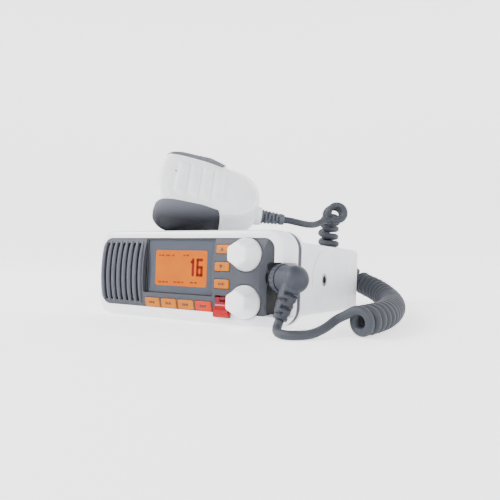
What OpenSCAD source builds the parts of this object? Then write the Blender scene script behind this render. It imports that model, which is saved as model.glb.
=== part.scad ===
/* [Bezel] */
// Width of the bezel
bezel_w = 157; // [152:1:170]
// Height of the bezel
bezel_h = 58.5; // [58:0.5:66]
// Depth of the bezel moulding
bezel_d = 11; // [10.5:0.5:14]
// Corner radius of the bezel outline
bezel_corner_r = 12; // [8:0.5:14]
// How far the bezel's ends draw in at the front
end_sweep = 8; // [2:0.5:8]
// Softening of the bezel's top and bottom front edges
edge_round = 2.5; // [1:0.25:4]
// White border left of the panel
border_left = 8.2; // [8.2:0.1:11]
// White border above the panel
border_top = 5.2; // [4.5:0.1:6]
// White border below the panel
border_bottom = 6.7; // [6:0.1:7]
// Thickness of the sealing gasket behind the bezel
gasket_t = 5; // [2:0.5:7]

/* [Housing] */
// Depth of the housing behind the gasket
housing_d = 109; // [100:1:130]
// Thickness of the housing's front flange
flange_t = 2.7; // [2:0.1:4]
// Step from the flange's outline to the housing, at the sides
side_step = 2; // [1.5:0.25:4]
// Step from the flange's outline to the housing, above and below
top_step = 6.2; // [5:0.1:7]
// Wall of the housing
wall = 2.5; // [2:0.1:3]
// Diameter of the round boss on each side
boss_d = 38; // [28:1:42]
// How far the side bosses stand proud
boss_rise = 0.5; // [0.3:0.1:1]
// Distance of the bracket bores behind the flange
bore_back = 38; // [30:1:60]
// Height of the bracket bores above the bezel's underside
bore_up = 29; // [27:0.5:31]
// Thread size of the bracket bores
bracket_thread = 5; // [4:0.5:6]
// Depth of the heat sink's fins behind the housing
fin_d = 7; // [4:0.5:8]
// Number of heat sink fins
fin_n = 13; // [9:1:15]

/* [Panel] */
// How far the panel's face bulges at mid height
panel_crown = 3.3; // [2.5:0.1:4]
// Wall of the panel
panel_wall = 3; // [2.4:0.1:3.2]
// Number of speaker slots
slot_n = 7; // [5:1:7]
// Spacing of the speaker slots
slot_pitch = 4.9; // [4:0.1:4.9]
// Width of one speaker slot
slot_w = 2.3; // [1.5:0.1:2.8]
// Width of the display window
window_w = 56.3; // [52:0.1:56.5]
// Height of the display window
window_h = 36.4; // [33:0.1:36.5]
// Width of the lit display
lit_w = 42.4; // [36:0.1:46]
// Height of the lit display
lit_h = 23.6; // [18:0.1:26]

/* [Keys and knobs] */
// Width of a key in the lower row
row_key_w = 12.4; // [10:0.1:12.8]
// Height of a key in the lower row
row_key_h = 6.2; // [5:0.1:6.4]
// Spacing of the keys in the lower row
row_pitch = 14; // [13.8:0.1:14.1]
// Width of a key in the right column
column_key_w = 10.6; // [9.5:0.1:10.8]
// Height of a key in the right column
column_key_h = 5.6; // [4.6:0.1:6]
// How far the keys stand proud of the panel
key_rise = 0.9; // [0.5:0.1:1.4]
// Travel of a key
key_travel = 0.8; // [0.5:0.1:1]
// Diameter of a knob's base
knob_d = 20.4; // [18:0.2:20.6]
// Length of a knob
knob_l = 13.7; // [10:0.1:16]
// Diameter of a control shaft
shaft_d = 6; // [5:0.5:6.5]

/* [Plug and cord] */
// Diameter of the cord
cord_d = 5.2; // [4.6:0.1:5.4]
// Diameter of the coil, measured outside
coil_d = 17.6; // [17:0.2:18.4]
// Free gap between neighbouring curls
curl_gap = 0.7; // [0.6:0.1:1]
// Diameter of the plug's barrel
plug_d = 16; // [14:0.5:16.5]
// Length of the plug's barrel past its ring
plug_l = 16.5; // [15:0.5:19]
// Length of the plug's boot
boot_l = 24.5; // [20:0.5:26]

/* [Hand microphone] */
// Length of the microphone's case
mic_l = 78; // [76:1:86]
// Width of the microphone's case
mic_w = 63; // [60:0.5:64]
// Height of the front shell above the parting line
mic_front_h = 17; // [16:0.5:19]
// Slope of the front shell's face, down towards the cord
face_slope = 8; // [4:1:9]
// Depth of the back shell below the parting line
mic_back_h = 15; // [13:0.5:16]
// Wall of the microphone's shells
mic_wall = 2.2; // [1.8:0.1:2.6]
// Number of ribs across the face
rib_n = 4; // [3:1:4]
// Spacing of the ribs
rib_pitch = 8.8; // [8:0.1:9.2]

/* [Hidden] */
$fn = 48;
// Air between two pieces that are fixed to each other
fit = 0.1;
// Air between a moving piece and what it moves in
play = 0.3;
// A cut's overshoot past the surface that it opens
over = 1;

// The set is drawn level: X to the right, Y back from the bezel's
// face, Z up from the bezel's underside
gasket_y = bezel_d;
flange_y = gasket_y + gasket_t;
housing_y = flange_y + flange_t;
rear_y = flange_y + housing_d;
housing_w = bezel_w - 2 * side_step;
housing_z = top_step;
housing_h = bezel_h - 2 * top_step;
// It then tips back until the housing's rear edge is on the table too
rest_tilt = atan(housing_z / (rear_y - housing_y));

// Heat sink
sink_base_t = 4;
sink_inset = 2;
fin_t = 1.8;
fin_top_gap = 3;
// The back's parts keep their shares of the housing's width
back_span = 153;
back_wide = housing_w / back_span;
fin_gap = 0.4;

// Antenna socket on the heat sink, between the screws and the fins
screw_in = 6;
screw_head_d = 5.6;
aerial_z = housing_z + housing_h / 2;
aerial_flange = 25.4;
aerial_flange_t = 1.6;
aerial_x = -housing_w / 2 + screw_in + screw_head_d / 2 + fin_gap + aerial_flange / 2;
fin_x0 = aerial_x + aerial_flange / 2 + fin_gap + fin_t / 2;
fin_x1 = 34 * back_wide;
aerial_thread_d = 15.88;
aerial_l = 12;

// Panel
panel_x0 = -bezel_w / 2 + border_left;
panel_z0 = border_bottom;
panel_z1 = bezel_h - border_top;
panel_mid = (panel_z0 + panel_z1) / 2;
panel_half = (panel_z1 - panel_z0) / 2;
panel_edge_y = 0.5;
panel_r = (pow(panel_half, 2) + pow(panel_crown, 2)) / (2 * panel_crown);
panel_back = 9.2;
panel_corner = 7;
facet_x = bezel_w / 2 - 19;
facet_w = 8.7;
facet_angle = 36;
panel_x1 = facet_x + facet_w;
notch_x = bezel_w / 2 - 14.5;
notch_top = panel_z0 + 32.2;
notch_back = 10;

// The front's parts keep their shares of its width and height
front_span = 129.8;
front_rise = 46.6;
wide = (facet_x - panel_x0) / front_span;
tall = (panel_z1 - panel_z0) / front_rise;
pane_w = window_w * wide;
pane_h = window_h * tall;
shown_w = lit_w * wide;
shown_h = lit_h * tall;
row_w = row_key_w * wide;
row_h = row_key_h * tall;
row_step = row_pitch * wide;
side_w = column_key_w * wide;
side_h = column_key_h * tall;
slot_gap = slot_pitch * wide;
knob_base_d = knob_d * min(wide, tall);

// Speaker slots
slot_x0 = panel_x0 + 4.8 * wide;
slot_z_gap = 3.2;
speaker_x = slot_x0 + slot_gap * 3;
speaker_d = 37 * min(wide, tall);
speaker_y = 9.3;
speaker_depth = 13;
magnet_d = 20;
magnet_t = 6;
mesh_t = 0.5;

// Display, and the board behind it
front_board_y = 9.2;
window_x0 = panel_x0 + 39.8 * wide;
window_z0 = panel_z1 - pane_h;
lens_y = 1.2;
lens_t = 1.6;
lcd_t = 1.8;
lcd_rim = 3 * min(wide, tall);
light_t = front_board_y - lens_y - lens_t - lcd_t - 3 * fit;
lit_x = window_x0 + 7.4 * wide + shown_w / 2;
lit_z = window_z0 + 4.7 * tall + shown_h / 2;

// Keys: centres of the lower row and of the right column
row_x0 = window_x0 + 7.6 * wide;
row_z = panel_z0 + row_h / 2 + 0.2 * tall;
row_n = 4;
column_x = window_x0 + pane_w + 7.7 * wide;
column_z = [for (down = [7, 17.9, 28.6]) panel_z1 - down * tall];
key_gap = 0.25;
key_lip = 0.6;
key_lip_y = 4.2;
key_lip_t = 0.8;
key_r = 0.7;
switch_w = 4.4;
switch_y = key_lip_y + key_lip_t + key_travel + play;

// Distress key and its hinged cover
distress_x = column_x + 0.2 * wide;
distress_w = 10.6 * wide;
distress_z0 = panel_z0 - 2.7;
distress_z1 = panel_z0 + 10.3 * tall;
cover_t = 1.4;
cover_pin_d = 1.5;
cover_pin_z = distress_z1 - 1.6;
cover_y = -1.6;
cover_lip = 2.2;
distress_key_w = 7 * wide;
distress_key_h = 5 * tall;
lug_w = 3.6;
lug_play = 0.3;

// Knobs
knob_x = facet_x - 9.4 * wide;
knob_z = [for (up = [36.4, 7.8]) panel_z0 + up * tall];
knob_back = -0.1;
knob_skirt = 3;
knob_well = 0.5;
knob_well_gap = 0.5;
knob_cap_d = 16.4 * min(wide, tall);
knob_flats = 6;
flute_d = 3.4;
flute_in = 2.6;
knob_bore_l = 8;
shaft_gap = 0.05;
shaft_in = 6;
pot_gap = 0.4;
pot_d = 2 * (knob_z[1] - top_step - wall - pot_gap);
pot_t = 5;
bush_d = 8.4;

// Boards
board_t = 1.6;
main_board_z = housing_z + wall + 5;
main_board_side = 10.5;
main_board_w = housing_w - 2 * main_board_side;
main_board_y0 = housing_y + 16;
// Room behind the main board for the outlet and the sockets
main_board_clear = 14.3;
main_board_l = rear_y - main_board_clear - main_board_y0;
post_d = 6;
shield_w = 64 * back_wide;
shield_l = 46;
shield_h = 12;
shield_t = 0.6;
shield_back = 18;

// Microphone socket and the plug that sits in it. Its wall, and so the
// plug, is turned towards the front
plug_turn = 24;
socket_y = 4.2;
socket_x = notch_x + socket_y * tan(plug_turn);
plug_z = 29.5;
plug_ring_d = plug_d + 1.4;
plug_ring_l = 4;
socket_d = 9.6;
socket_l = 8;
socket_nose = 6.2;
boot_tilt = 22;
boot_d0 = 13.5;
boot_d1 = 8.4;
boot_at = socket_nose + plug_ring_l + 8;
boot_slots = 4;
dome_l = 3;

// Where the microphone lies on the set, and how it is turned
mic_over = 33.3;
mic_at = [-41, -40, bezel_h + mic_over];
mic_roll = 50;
mic_drop = 8;
mic_heading = 36;
mic_end_w = 48;
back_slope = 6;
mic_face_in = 9;
grip_x0 = 4;
grip_x1 = 49.5;
grip_y = [24, 21];
grip_y_foot = [20, 21];
grip_slant = -16;
grip_t = 2;
grip_gap = 0.15;
parting = 0.1;
rib_x0 = 19.6;
rib_w = 4.4;
rib_rise = 0.8;
rib_span = 31;
key_x0 = 10;
key_x1 = 46;
key_h = 11;
key_z = -1;
ptt_rise = 1.2;
capsule_d = 9.6;
relief_d0 = 11;
relief_d1 = 7.6;
relief_l = 24;
relief_ribs = 5;
neck_d = 15;
neck_x = mic_l - 12;
neck_l = 15.5;
neck_z = -13.8;
relief_sunk = 6;
stud_x = 38;
stud_d = 12;
stud_neck_d = 7;
stud_rise = 4.5;
stud_head = 2.4;

// What the cord follows when the set or the microphone changes size
set_out = [bezel_w / 2 - 78.5, 0, 0];
set_deep = (housing_d - 109) / 150.3;
function with_set(p) = p + set_out + [0, set_deep * p[1], 0];
mic_way = [cos(mic_heading) * cos(mic_drop), sin(mic_heading) * cos(mic_drop), -sin(mic_drop)];
mic_out = mic_way * (mic_l - 78) + [0, 0, mic_at[2] - 91.8];

// The cord's stretches: points chosen along the table and behind the set
front_path = [[79, -73, 8.6], [78.4, -74.8, 5], [80.5, -79, 2.9], [87, -84, 2.7], [94, -82, 2.7],
    [99, -74.5, 2.8], [102.8, -65.5, 5], [106.6, -58.2, 9.0], [111.1, -58.6, 11.5]];
front_route = [for (p = front_path) with_set(p)];
// The coil's centre line, from the table round behind the set and up
coil_path = [[119.5, -60, 9.2], [122, -50, 9.2], [124, -30, 9.2], [122, -6, 9.2],
    [117, 18, 9.4], [110, 38, 10.5], [101, 54, 13], [91, 66, 16], [79, 76, 19],
    [67, 83, 24.5], [54.5, 87, 32], [46.3, 87.7, 42], [43.8, 86.9, 51], [43.6, 86.2, 58.7],
    [44.5, 85.2, 65.4], [47, 82.4, 71.1], [50.8, 78.15, 74.9], [55.3, 73.2, 76.2],
    [58.7, 67.8, 76.2]];
coil_route = [for (p = coil_path) with_set(p)];
// The stretch from the microphone to the coil, and how much of each
// point's place follows the microphone
mic_path = [[31.66, 25.86, 69.14], [36.07, 29.06, 68.37], [41, 34.4, 66.9], [44.5, 42.5, 65.9],
    [46.8, 51.5, 66.5], [50.6, 61.05, 69.55], [54.07, 63.98, 69.79]];
mic_share = [1, 1, 0.7, 0.4, 0.1, 0, 0];
mic_route = [for (i = [0:len(mic_path) - 1])
    mic_share[i] * (mic_path[i] + mic_out) + (1 - mic_share[i]) * with_set(mic_path[i])];

// ---- Helpers ----

// Outline drawn in X and Z, extruded back from y0
module back_from(y0, d) {
    translate([0, y0 + d, 0])
        rotate([90, 0, 0])
            linear_extrude(d) children();
}

// Rectangle with round corners, from corner to corner
module rounded(x0, z0, x1, z1, r) {
    translate([x0, z0]) square_rounded(x1 - x0, z1 - z0, r);
}

module square_rounded(w, h, r) {
    translate([r, 0]) square([w - 2 * r, h]);
    translate([0, r]) square([w, h - 2 * r]);
    for (x = [r, w - r], z = [r, h - r]) translate([x, z]) circle(r);
}

// Cylinder whose axis runs back along Y
module rod_y(x, y0, z, d, l) {
    translate([x, y0, z]) rotate([-90, 0, 0]) cylinder(d = d, h = l);
}

// Cylinder whose axis runs right along X
module rod_x(x0, y, z, d, l) {
    translate([x0, y, z]) rotate([0, 90, 0]) cylinder(d = d, h = l);
}

// Everything nearer than the panel's bulged face, moved forward by rise
module crowned_space(rise) {
    r = panel_r + rise;
    span = bezel_w;
    translate([-span, panel_edge_y - panel_crown + panel_r, panel_mid])
        rotate([0, 90, 0]) cylinder(r = r, h = 2 * span, $fn = 180);
}

// The level set, tipped back onto its rear edge and centred on the table
function tipped_y(y, z) = (y - housing_y) * cos(rest_tilt) + z * sin(rest_tilt);
front_reach = tipped_y(knob_back - knob_l, knob_z[1] - knob_cap_d / 2 + 0.9);
back_reach = tipped_y(rear_y - sink_inset + aerial_l, aerial_z + aerial_thread_d / 2);
centre_y = -(front_reach + back_reach) / 2;

module at_rest() {
    translate([0, centre_y, 0])
        rotate([-rest_tilt, 0, 0])
            translate([0, -housing_y, 0]) children();
}

module mic_place() {
    translate(mic_at) rotate([mic_roll, mic_drop, mic_heading]) children();
}

// ---- Housing ----

module rear_housing() {
    color([0.92, 0.92, 0.94]) at_rest() difference() {
        union() {
            back_from(flange_y, flange_t)
                rounded(-bezel_w / 2, 0, bezel_w / 2, bezel_h, bezel_corner_r);
            intersection() {
                back_from(housing_y, rear_y - housing_y)
                    rounded(-housing_w / 2, housing_z, housing_w / 2, housing_z + housing_h, 3);
                // the rear edges are rounded, as seen from the side
                translate([-housing_w / 2 - over, 0, 0]) rotate([90, 0, 90])
                    linear_extrude(housing_w + 2 * over)
                        rounded(flange_y, housing_z, rear_y, housing_z + housing_h, rear_round);
            }
            for (side = [-1, 1])
                rod_x(side > 0 ? housing_w / 2 - wall : -housing_w / 2 - boss_rise,
                    housing_y + bore_back, bore_up, boss_d, wall + boss_rise);
        }
        difference() {
            back_from(flange_y - over, rear_y - flange_y + 2 * over)
                rounded(-housing_w / 2 + wall, housing_z + wall,
                    housing_w / 2 - wall, housing_z + housing_h - wall, 1);
            for (side = [-1, 1])
                rod_x(side > 0 ? housing_w / 2 - insert_l - 1 : -housing_w / 2,
                    housing_y + bore_back, bore_up, insert_d + 5, insert_l + 1);
            for (x = post_x, y = post_y)
                translate([x, y, housing_z]) cylinder(d = post_d, h = main_board_z - housing_z);
            for (x = screw_x, z = screw_z) rod_y(x, sink_y - screw_post_l, z, 8, screw_post_l);
        }
        for (side = [-1, 1])
            rod_x(side > 0 ? housing_w / 2 - insert_l : -housing_w / 2 - boss_rise - over,
                housing_y + bore_back, bore_up, insert_d + 2 * fit, insert_l + boss_rise + over);
        for (x = screw_x, z = screw_z)
            rod_y(x, sink_y - screw_l, z, screw_d + 2 * fit, screw_l + over);
    }
}

rear_round = 2;
sink_y = rear_y - sink_inset - sink_base_t;
screw_post_l = 14;
insert_d = 8.6;
insert_l = 9;
post_x = [-main_board_w / 2 + 6, main_board_w / 2 - 6];
post_y = [main_board_y0 + 6, main_board_y0 + main_board_l - 6];

module bracket_insert(side) {
    l = insert_l + boss_rise;
    color([0.62, 0.63, 0.66]) at_rest() difference() {
        rod_x(side > 0 ? housing_w / 2 - insert_l : -housing_w / 2 - boss_rise,
            housing_y + bore_back, bore_up, insert_d, l);
        rod_x(side > 0 ? housing_w / 2 - insert_l - over : -housing_w / 2 - boss_rise - over,
            housing_y + bore_back, bore_up, bracket_thread, l + 2 * over);
    }
}

module bracket_insert_left() {
    bracket_insert(-1);
}

module bracket_insert_right() {
    bracket_insert(1);
}

module heat_sink() {
    w = housing_w - 2 * wall - 2 * fit;
    h = housing_h - 2 * wall - 2 * fit;
    y0 = rear_y - sink_inset - sink_base_t;
    color([0.80, 0.81, 0.83]) at_rest() difference() {
        union() {
            back_from(y0, sink_base_t)
                rounded(-w / 2, housing_z + wall + fit, w / 2, housing_z + wall + fit + h, 1);
            for (i = [0:fin_n - 1])
                translate([fin_x0 + i * (fin_x1 - fin_x0) / (fin_n - 1) - fin_t / 2,
                    y0 + sink_base_t - fit, housing_z + wall + fin_top_gap])
                    cube([fin_t, sink_inset + fin_d + fit, housing_h - 2 * wall - 2 * fin_top_gap]);
        }
        rod_y(aerial_x, y0 - over, aerial_z, aerial_thread_d + 2 * fit, sink_base_t + 2 * over);
        rod_y(gland_x, y0 - over, gland_z, gland_d + 2 * fit, sink_base_t + 2 * over);
        rod_y(jack_x, y0 - over, jack_z, jack_d + 2 * fit, sink_base_t + 2 * over);
        for (x = screw_x, z = screw_z)
            rod_y(x, y0 - over, z, screw_d + 2 * fit, sink_base_t + 2 * over);
    }
}

gland_x = fin_x1 + 10;
gland_z = housing_z + 12;
gland_d = 12;
gland_rim = 2;
gland_bore_d = 7;
gland_in = 3;
gland_out = 5;
jack_x = gland_x;
jack_z = housing_z + housing_h - 12;
jack_d = 8;
jack_rim = 1.5;
jack_bore_d = 3.6;
jack_in = 8;
jack_out = 2;
screw_d = 3;
screw_head_h = 1.8;
screw_l = 10;
screw_x = [-housing_w / 2 + screw_in, housing_w / 2 - screw_in];
screw_z = [housing_z + 6.4, housing_z + housing_h - 6.4];

module case_screws() {
    y1 = rear_y - sink_inset;
    color([0.70, 0.71, 0.73]) at_rest() for (x = screw_x, z = screw_z) difference() {
        union() {
            rod_y(x, y1 - screw_l, z, screw_d, screw_l);
            rod_y(x, y1, z, screw_head_d, screw_head_h);
        }
        rod_y(x, y1 + 0.6, z, 2.2, screw_head_h);
    }
}

module antenna_socket() {
    y1 = rear_y - sink_inset;
    color([0.78, 0.77, 0.72]) at_rest() difference() {
        union() {
            rod_y(aerial_x, y1 - sink_base_t, aerial_z, aerial_thread_d, sink_base_t + aerial_l);
            back_from(y1, aerial_flange_t)
                rounded(aerial_x - aerial_flange / 2, aerial_z - aerial_flange / 2,
                    aerial_x + aerial_flange / 2, aerial_z + aerial_flange / 2, 2);
        }
        rod_y(aerial_x, y1 - sink_base_t - over, aerial_z, aerial_thread_d - 3.4,
            sink_base_t + aerial_l + 2 * over);
    }
}

module antenna_contact() {
    y1 = rear_y - sink_inset;
    color([0.86, 0.84, 0.78]) at_rest() difference() {
        rod_y(aerial_x, y1 - sink_base_t, aerial_z, aerial_thread_d - 3.4 - 2 * fit,
            sink_base_t + aerial_l - 3);
        rod_y(aerial_x, y1 + 1, aerial_z, 4, aerial_l);
    }
}

module power_gland() {
    y1 = rear_y - sink_inset;
    color([0.12, 0.12, 0.13]) at_rest() difference() {
        union() {
            rod_y(gland_x, y1 - sink_base_t - gland_in, gland_z, gland_d, sink_base_t + gland_in);
            rod_y(gland_x, y1, gland_z, gland_d + 2 * gland_rim, gland_out);
        }
        rod_y(gland_x, y1 - over, gland_z, gland_bore_d, gland_out + 3 * over);
    }
}

module speaker_jack() {
    y1 = rear_y - sink_inset;
    color([0.16, 0.16, 0.17]) at_rest() difference() {
        union() {
            rod_y(jack_x, y1 - sink_base_t - jack_in, jack_z, jack_d, sink_base_t + jack_in);
            rod_y(jack_x, y1, jack_z, jack_d + 2 * jack_rim, jack_out);
        }
        rod_y(jack_x, y1 - jack_in, jack_z, jack_bore_d, jack_in + 2 * jack_out);
    }
}

// ---- Front ----

// The bezel's outer skin: its ends sweep back and its edges are soft
module bezel_skin() {
    steps = 4;
    slice = 0.25;
    hull() {
        for (i = [0:steps]) {
            a = 90 * i / steps;
            y = bezel_d * 0.85 * (1 - cos(a));
            side_in = end_sweep * (1 - sin(a));
            edge_in = edge_round * (1 - sin(min(90, a * 1.8)));
            back_from(y, slice)
                rounded(-bezel_w / 2 + side_in, edge_in, bezel_w / 2 - side_in,
                    bezel_h - edge_in, bezel_corner_r - edge_in, $fn = 32);
        }
        back_from(bezel_d - slice, slice)
            rounded(-bezel_w / 2, 0, bezel_w / 2, bezel_h, bezel_corner_r, $fn = 32);
    }
}

// The panel's outline, grown by g
module panel_outline(g) {
    rounded(panel_x0 - g, panel_z0 - g, panel_x1 + g, panel_z1 + g, panel_corner);
}

// The hollow at the front right that the plug reaches into. Its left
// wall is square to the plug
module plug_notch() {
    ahead = 2 * bezel_d;
    translate([0, 0, panel_z0]) linear_extrude(notch_top - panel_z0) polygon([
        [notch_x + notch_back * tan(plug_turn), notch_back],
        [notch_x - ahead * tan(plug_turn), -ahead],
        [bezel_w, -ahead], [bezel_w, notch_back]
    ]);
}

module knob_wells() {
    for (z = knob_z) rod_y(knob_x, -bezel_d, z, knob_base_d + 2 * knob_well_gap, bezel_d + knob_well);
}

module front_bezel() {
    inner_x = bezel_w / 2 - side_step - wall - 1;
    inner_z = top_step + wall + 0.2;
    color([0.93, 0.93, 0.95]) at_rest() difference() {
        bezel_skin();
        back_from(-over, panel_back + fit + over) panel_outline(fit);
        back_from(panel_back, bezel_d) difference() {
            rounded(-inner_x, inner_z, inner_x, bezel_h - inner_z, 4);
            translate([notch_x - 2, 0]) square([bezel_w, notch_top + 2]);
        }
        plug_notch();
        knob_wells();
        plug_place() rod_x(-socket_l - play, 0, 0, socket_d + 2 * fit, 2 * socket_l);
        translate([distress_x - distress_w / 2 - play, -over, distress_z0 - play])
            cube([distress_w + 2 * play, over + 1, panel_z0 - distress_z0 + 2 * play]);
    }
}

module bezel_gasket() {
    color([0.45, 0.45, 0.48]) at_rest() back_from(gasket_y, gasket_t) difference() {
        inset = 0.4;
        rounded(-bezel_w / 2 + inset, inset, bezel_w / 2 - inset, bezel_h - inset, bezel_corner_r - inset);
        rounded(-housing_w / 2 + wall, housing_z + wall, housing_w / 2 - wall,
            housing_z + housing_h - wall, 3);
    }
}

module key_hole(x, z, w, h, below = 0) {
    translate([x - w / 2 - key_gap, -bezel_d, z - h / 2 - key_gap - below])
        cube([w + 2 * key_gap, 3 * bezel_d, h + 2 * key_gap + below]);
}

module front_panel() {
    color([0.45, 0.46, 0.49]) at_rest() difference() {
        union() {
            difference() {
                intersection() {
                    back_from(-panel_crown - over, panel_back + panel_crown + over) panel_outline(0);
                    crowned_space(0);
                }
                intersection() {
                    back_from(-panel_crown, panel_back + panel_crown + over)
                        rounded(panel_x0 + panel_wall, panel_z0 + panel_wall / 2,
                            notch_x - panel_wall, panel_z1 - panel_wall / 2, panel_corner - panel_wall);
                    crowned_space(-panel_wall);
                }
            }
            for (z = knob_z) intersection() {
                rod_y(knob_x, 0, z, knob_base_d + 2, key_lip_y - play);
                back_from(0, panel_back) panel_outline(0);
            }
            // posts that the front board rests on
            for (z = board_post_z) rod_y(board_post_x, 1, z, 3, front_board_y - 1);
            rod_y(knob_x, -1, panel_mid - 1.2, 5, front_board_y + 1);
            translate([notch_x - socket_block, 0, plug_z - socket_d / 2 - 2])
                cube([socket_block + bezel_d, panel_back, socket_d + 4]);
            hinge_lug();
        }
        plug_notch();
        // the facet that leads round to the plug
        translate([facet_x, panel_edge_y - panel_crown, 0]) rotate([0, 0, facet_angle])
            translate([0, -2 * bezel_d, -over]) cube([4 * bezel_d, 2 * bezel_d, bezel_h + 2 * over]);
        // speaker slots
        for (i = [0:slot_n - 1])
            back_from(-bezel_d, 3 * bezel_d)
                rounded(slot_x0 + i * slot_gap - slot_w / 2, panel_z0 + slot_z_gap,
                    slot_x0 + i * slot_gap + slot_w / 2, panel_z1 - slot_z_gap, slot_w / 2 - 0.01);
        // display window, open to the top edge
        translate([window_x0 - play, -bezel_d, window_z0 - play])
            cube([pane_w + 2 * play, 3 * bezel_d, pane_h + 2 * play + over]);
        for (i = [0:row_n - 1]) key_hole(row_x0 + i * row_step, row_z, row_w, row_h, over);
        for (z = column_z) key_hole(column_x, z, side_w, side_h);
        // distress opening, deeper at the hinge, with a lug left in its middle
        translate([distress_x - distress_w / 2 - lug_play, -bezel_d, panel_z0 - over])
            cube([distress_w + 2 * lug_play, bezel_d + 1, cover_pin_z - 2 - panel_z0 + over]);
        difference() {
            translate([distress_x - distress_w / 2 - lug_play, -bezel_d, cover_pin_z - 2.1])
                cube([distress_w + 2 * lug_play, bezel_d + 1.9, 4.2]);
            hinge_lug();
        }
        rod_x(distress_x - lug_w, pin_y, cover_pin_z, cover_pin_d + 2 * fit, 2 * lug_w);
        key_hole(distress_x, distress_key_z, distress_key_w, distress_key_h);
        knob_wells();
        for (z = knob_z) rod_y(knob_x, -bezel_d, z, bush_d + 2 * fit, 3 * bezel_d);
        plug_place() rod_x(-2 * socket_l, 0, 0, socket_d + 2 * fit, 3 * socket_l);
    }
}

// What the distress cover's pin runs through
module hinge_lug() {
    rod_x(distress_x - lug_w / 2, pin_y, cover_pin_z, 2 * lug_r, lug_w);
    translate([distress_x - lug_w / 2, pin_y, cover_pin_z - lug_r]) cube([lug_w, 3, lug_r + 3.5]);
}

pin_y = cover_y + cover_t;
lug_r = 1.4;
distress_key_z = distress_z0 + 6.1 * tall;
socket_block = 9;
board_post_x = window_x0 - 2.3;
board_post_z = [panel_z0 + 5.3, panel_z1 - 5.3];

// A sheet of mesh laid against the inside of the bulged panel
module speaker_mesh() {
    x0 = panel_x0 + panel_wall + fit;
    x1 = board_post_x - 1.5 - play;
    color([0.08, 0.08, 0.09]) at_rest() difference() {
        intersection() {
            back_from(-panel_crown, panel_back)
                rounded(x0, panel_z0 + panel_wall / 2 + fit, x1, panel_z1 - panel_wall / 2 - fit, 4);
            crowned_space(-panel_wall - fit);
        }
        crowned_space(-panel_wall - fit - mesh_t);
    }
}

module speaker_frame() {
    color([0.25, 0.25, 0.27]) at_rest() {
        difference() {
            union() {
                rod_y(speaker_x, speaker_y, panel_mid, speaker_d, 2);
                translate([speaker_x, speaker_y + 2, panel_mid]) rotate([-90, 0, 0])
                    cylinder(d1 = speaker_d - 3, d2 = magnet_d + 2, h = speaker_depth - 4);
                intersection() {
                    rod_y(speaker_x, -panel_crown, panel_mid, speaker_d - 4.4, speaker_y + panel_crown + 1);
                    crowned_space(-panel_wall - mesh_t - 2 * fit);
                }
            }
            rod_y(speaker_x, -bezel_d, panel_mid, speaker_d - 7, bezel_d + speaker_y + over);
            translate([speaker_x, speaker_y - 0.01, panel_mid]) rotate([-90, 0, 0])
                cylinder(d1 = speaker_d - 4, d2 = magnet_d - 4, h = speaker_depth);
        }
    }
}

module speaker_cone() {
    color([0.13, 0.13, 0.14]) at_rest() difference() {
        translate([speaker_x, speaker_y + 0.1, panel_mid]) rotate([-90, 0, 0])
            cylinder(d1 = speaker_d - 4.4, d2 = magnet_d - 2, h = 9);
        translate([speaker_x, speaker_y - 0.01, panel_mid]) rotate([-90, 0, 0])
            cylinder(d1 = speaker_d - 6.4, d2 = magnet_d - 8, h = 8.4);
    }
}

module speaker_magnet() {
    color([0.30, 0.30, 0.31]) at_rest()
        rod_y(speaker_x, speaker_y + speaker_depth - 2 + fit, panel_mid, magnet_d, magnet_t);
}

module display_lens() {
    g = play / 2;
    color([0.50, 0.54, 0.60]) at_rest() difference() {
        back_from(lens_y, lens_t)
            rounded(window_x0 + g, window_z0 + g, window_x0 + pane_w - g, panel_z1 - g, 0.8);
        translate([lit_x - shown_w / 2, lens_y - over, lit_z - shown_h / 2])
            cube([shown_w, over + 0.4, shown_h]);
    }
}

module lcd_glass() {
    color([1.0, 0.55, 0.05]) at_rest()
        translate([lit_x - shown_w / 2 - lcd_rim, lens_y + lens_t + fit, lit_z - shown_h / 2 - lcd_rim])
            cube([shown_w + 2 * lcd_rim, lcd_t, shown_h + 2 * lcd_rim]);
}

module lcd_backlight() {
    color([0.95, 0.95, 0.92]) at_rest()
        translate([lit_x - shown_w / 2 - lcd_rim, lens_y + lens_t + lcd_t + 2 * fit,
            lit_z - shown_h / 2 - lcd_rim])
            cube([shown_w + 2 * lcd_rim, light_t, shown_h + 2 * lcd_rim]);
}

module front_board() {
    x0 = board_post_x - 1.3;
    x1 = notch_x - 2.9;
    z0 = top_step + wall + 0.5;
    color([0.10, 0.35, 0.18]) at_rest() difference() {
        translate([x0, front_board_y, z0]) cube([x1 - x0, board_t, bezel_h - 2 * z0]);
        for (z = knob_z) rod_y(knob_x, 0, z, bush_d + 2 * fit, 3 * bezel_d);
        rod_y(speaker_x, 0, panel_mid, speaker_d + 2, 3 * bezel_d);
        plug_place() rod_x(-2 * socket_l, 0, 0, socket_d + 2, 3 * socket_l);
    }
}

module key_switch(x, z) {
    translate([x - switch_w / 2, switch_y, z - switch_w / 2])
        cube([switch_w, front_board_y - switch_y, switch_w]);
}

module key_switches() {
    color([0.20, 0.20, 0.21]) at_rest() {
        for (i = [0:row_n - 1]) key_switch(row_x0 + i * row_step, row_z + 0.8);
        for (z = column_z) key_switch(column_x, z);
        key_switch(distress_x, distress_key_z);
    }
}

// A key cap follows the panel's bulge, and a lip behind it keeps it in
module key_cap(x, z, w, h) {
    intersection() {
        back_from(-bezel_d, bezel_d + key_lip_y + key_lip_t)
            rounded(x - w / 2, z - h / 2, x + w / 2, z + h / 2, key_r);
        crowned_space(key_rise);
    }
    key_lip(x, z, w, h);
}

module key_lip(x, z, w, h) {
    low = panel_z0 + panel_wall / 2 + play;
    back_from(key_lip_y, key_lip_t)
        rounded(x - w / 2 - key_lip, max(z - h / 2 - key_lip, low),
            x + w / 2 + key_lip, z + h / 2 + key_lip, 0.4);
}

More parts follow.
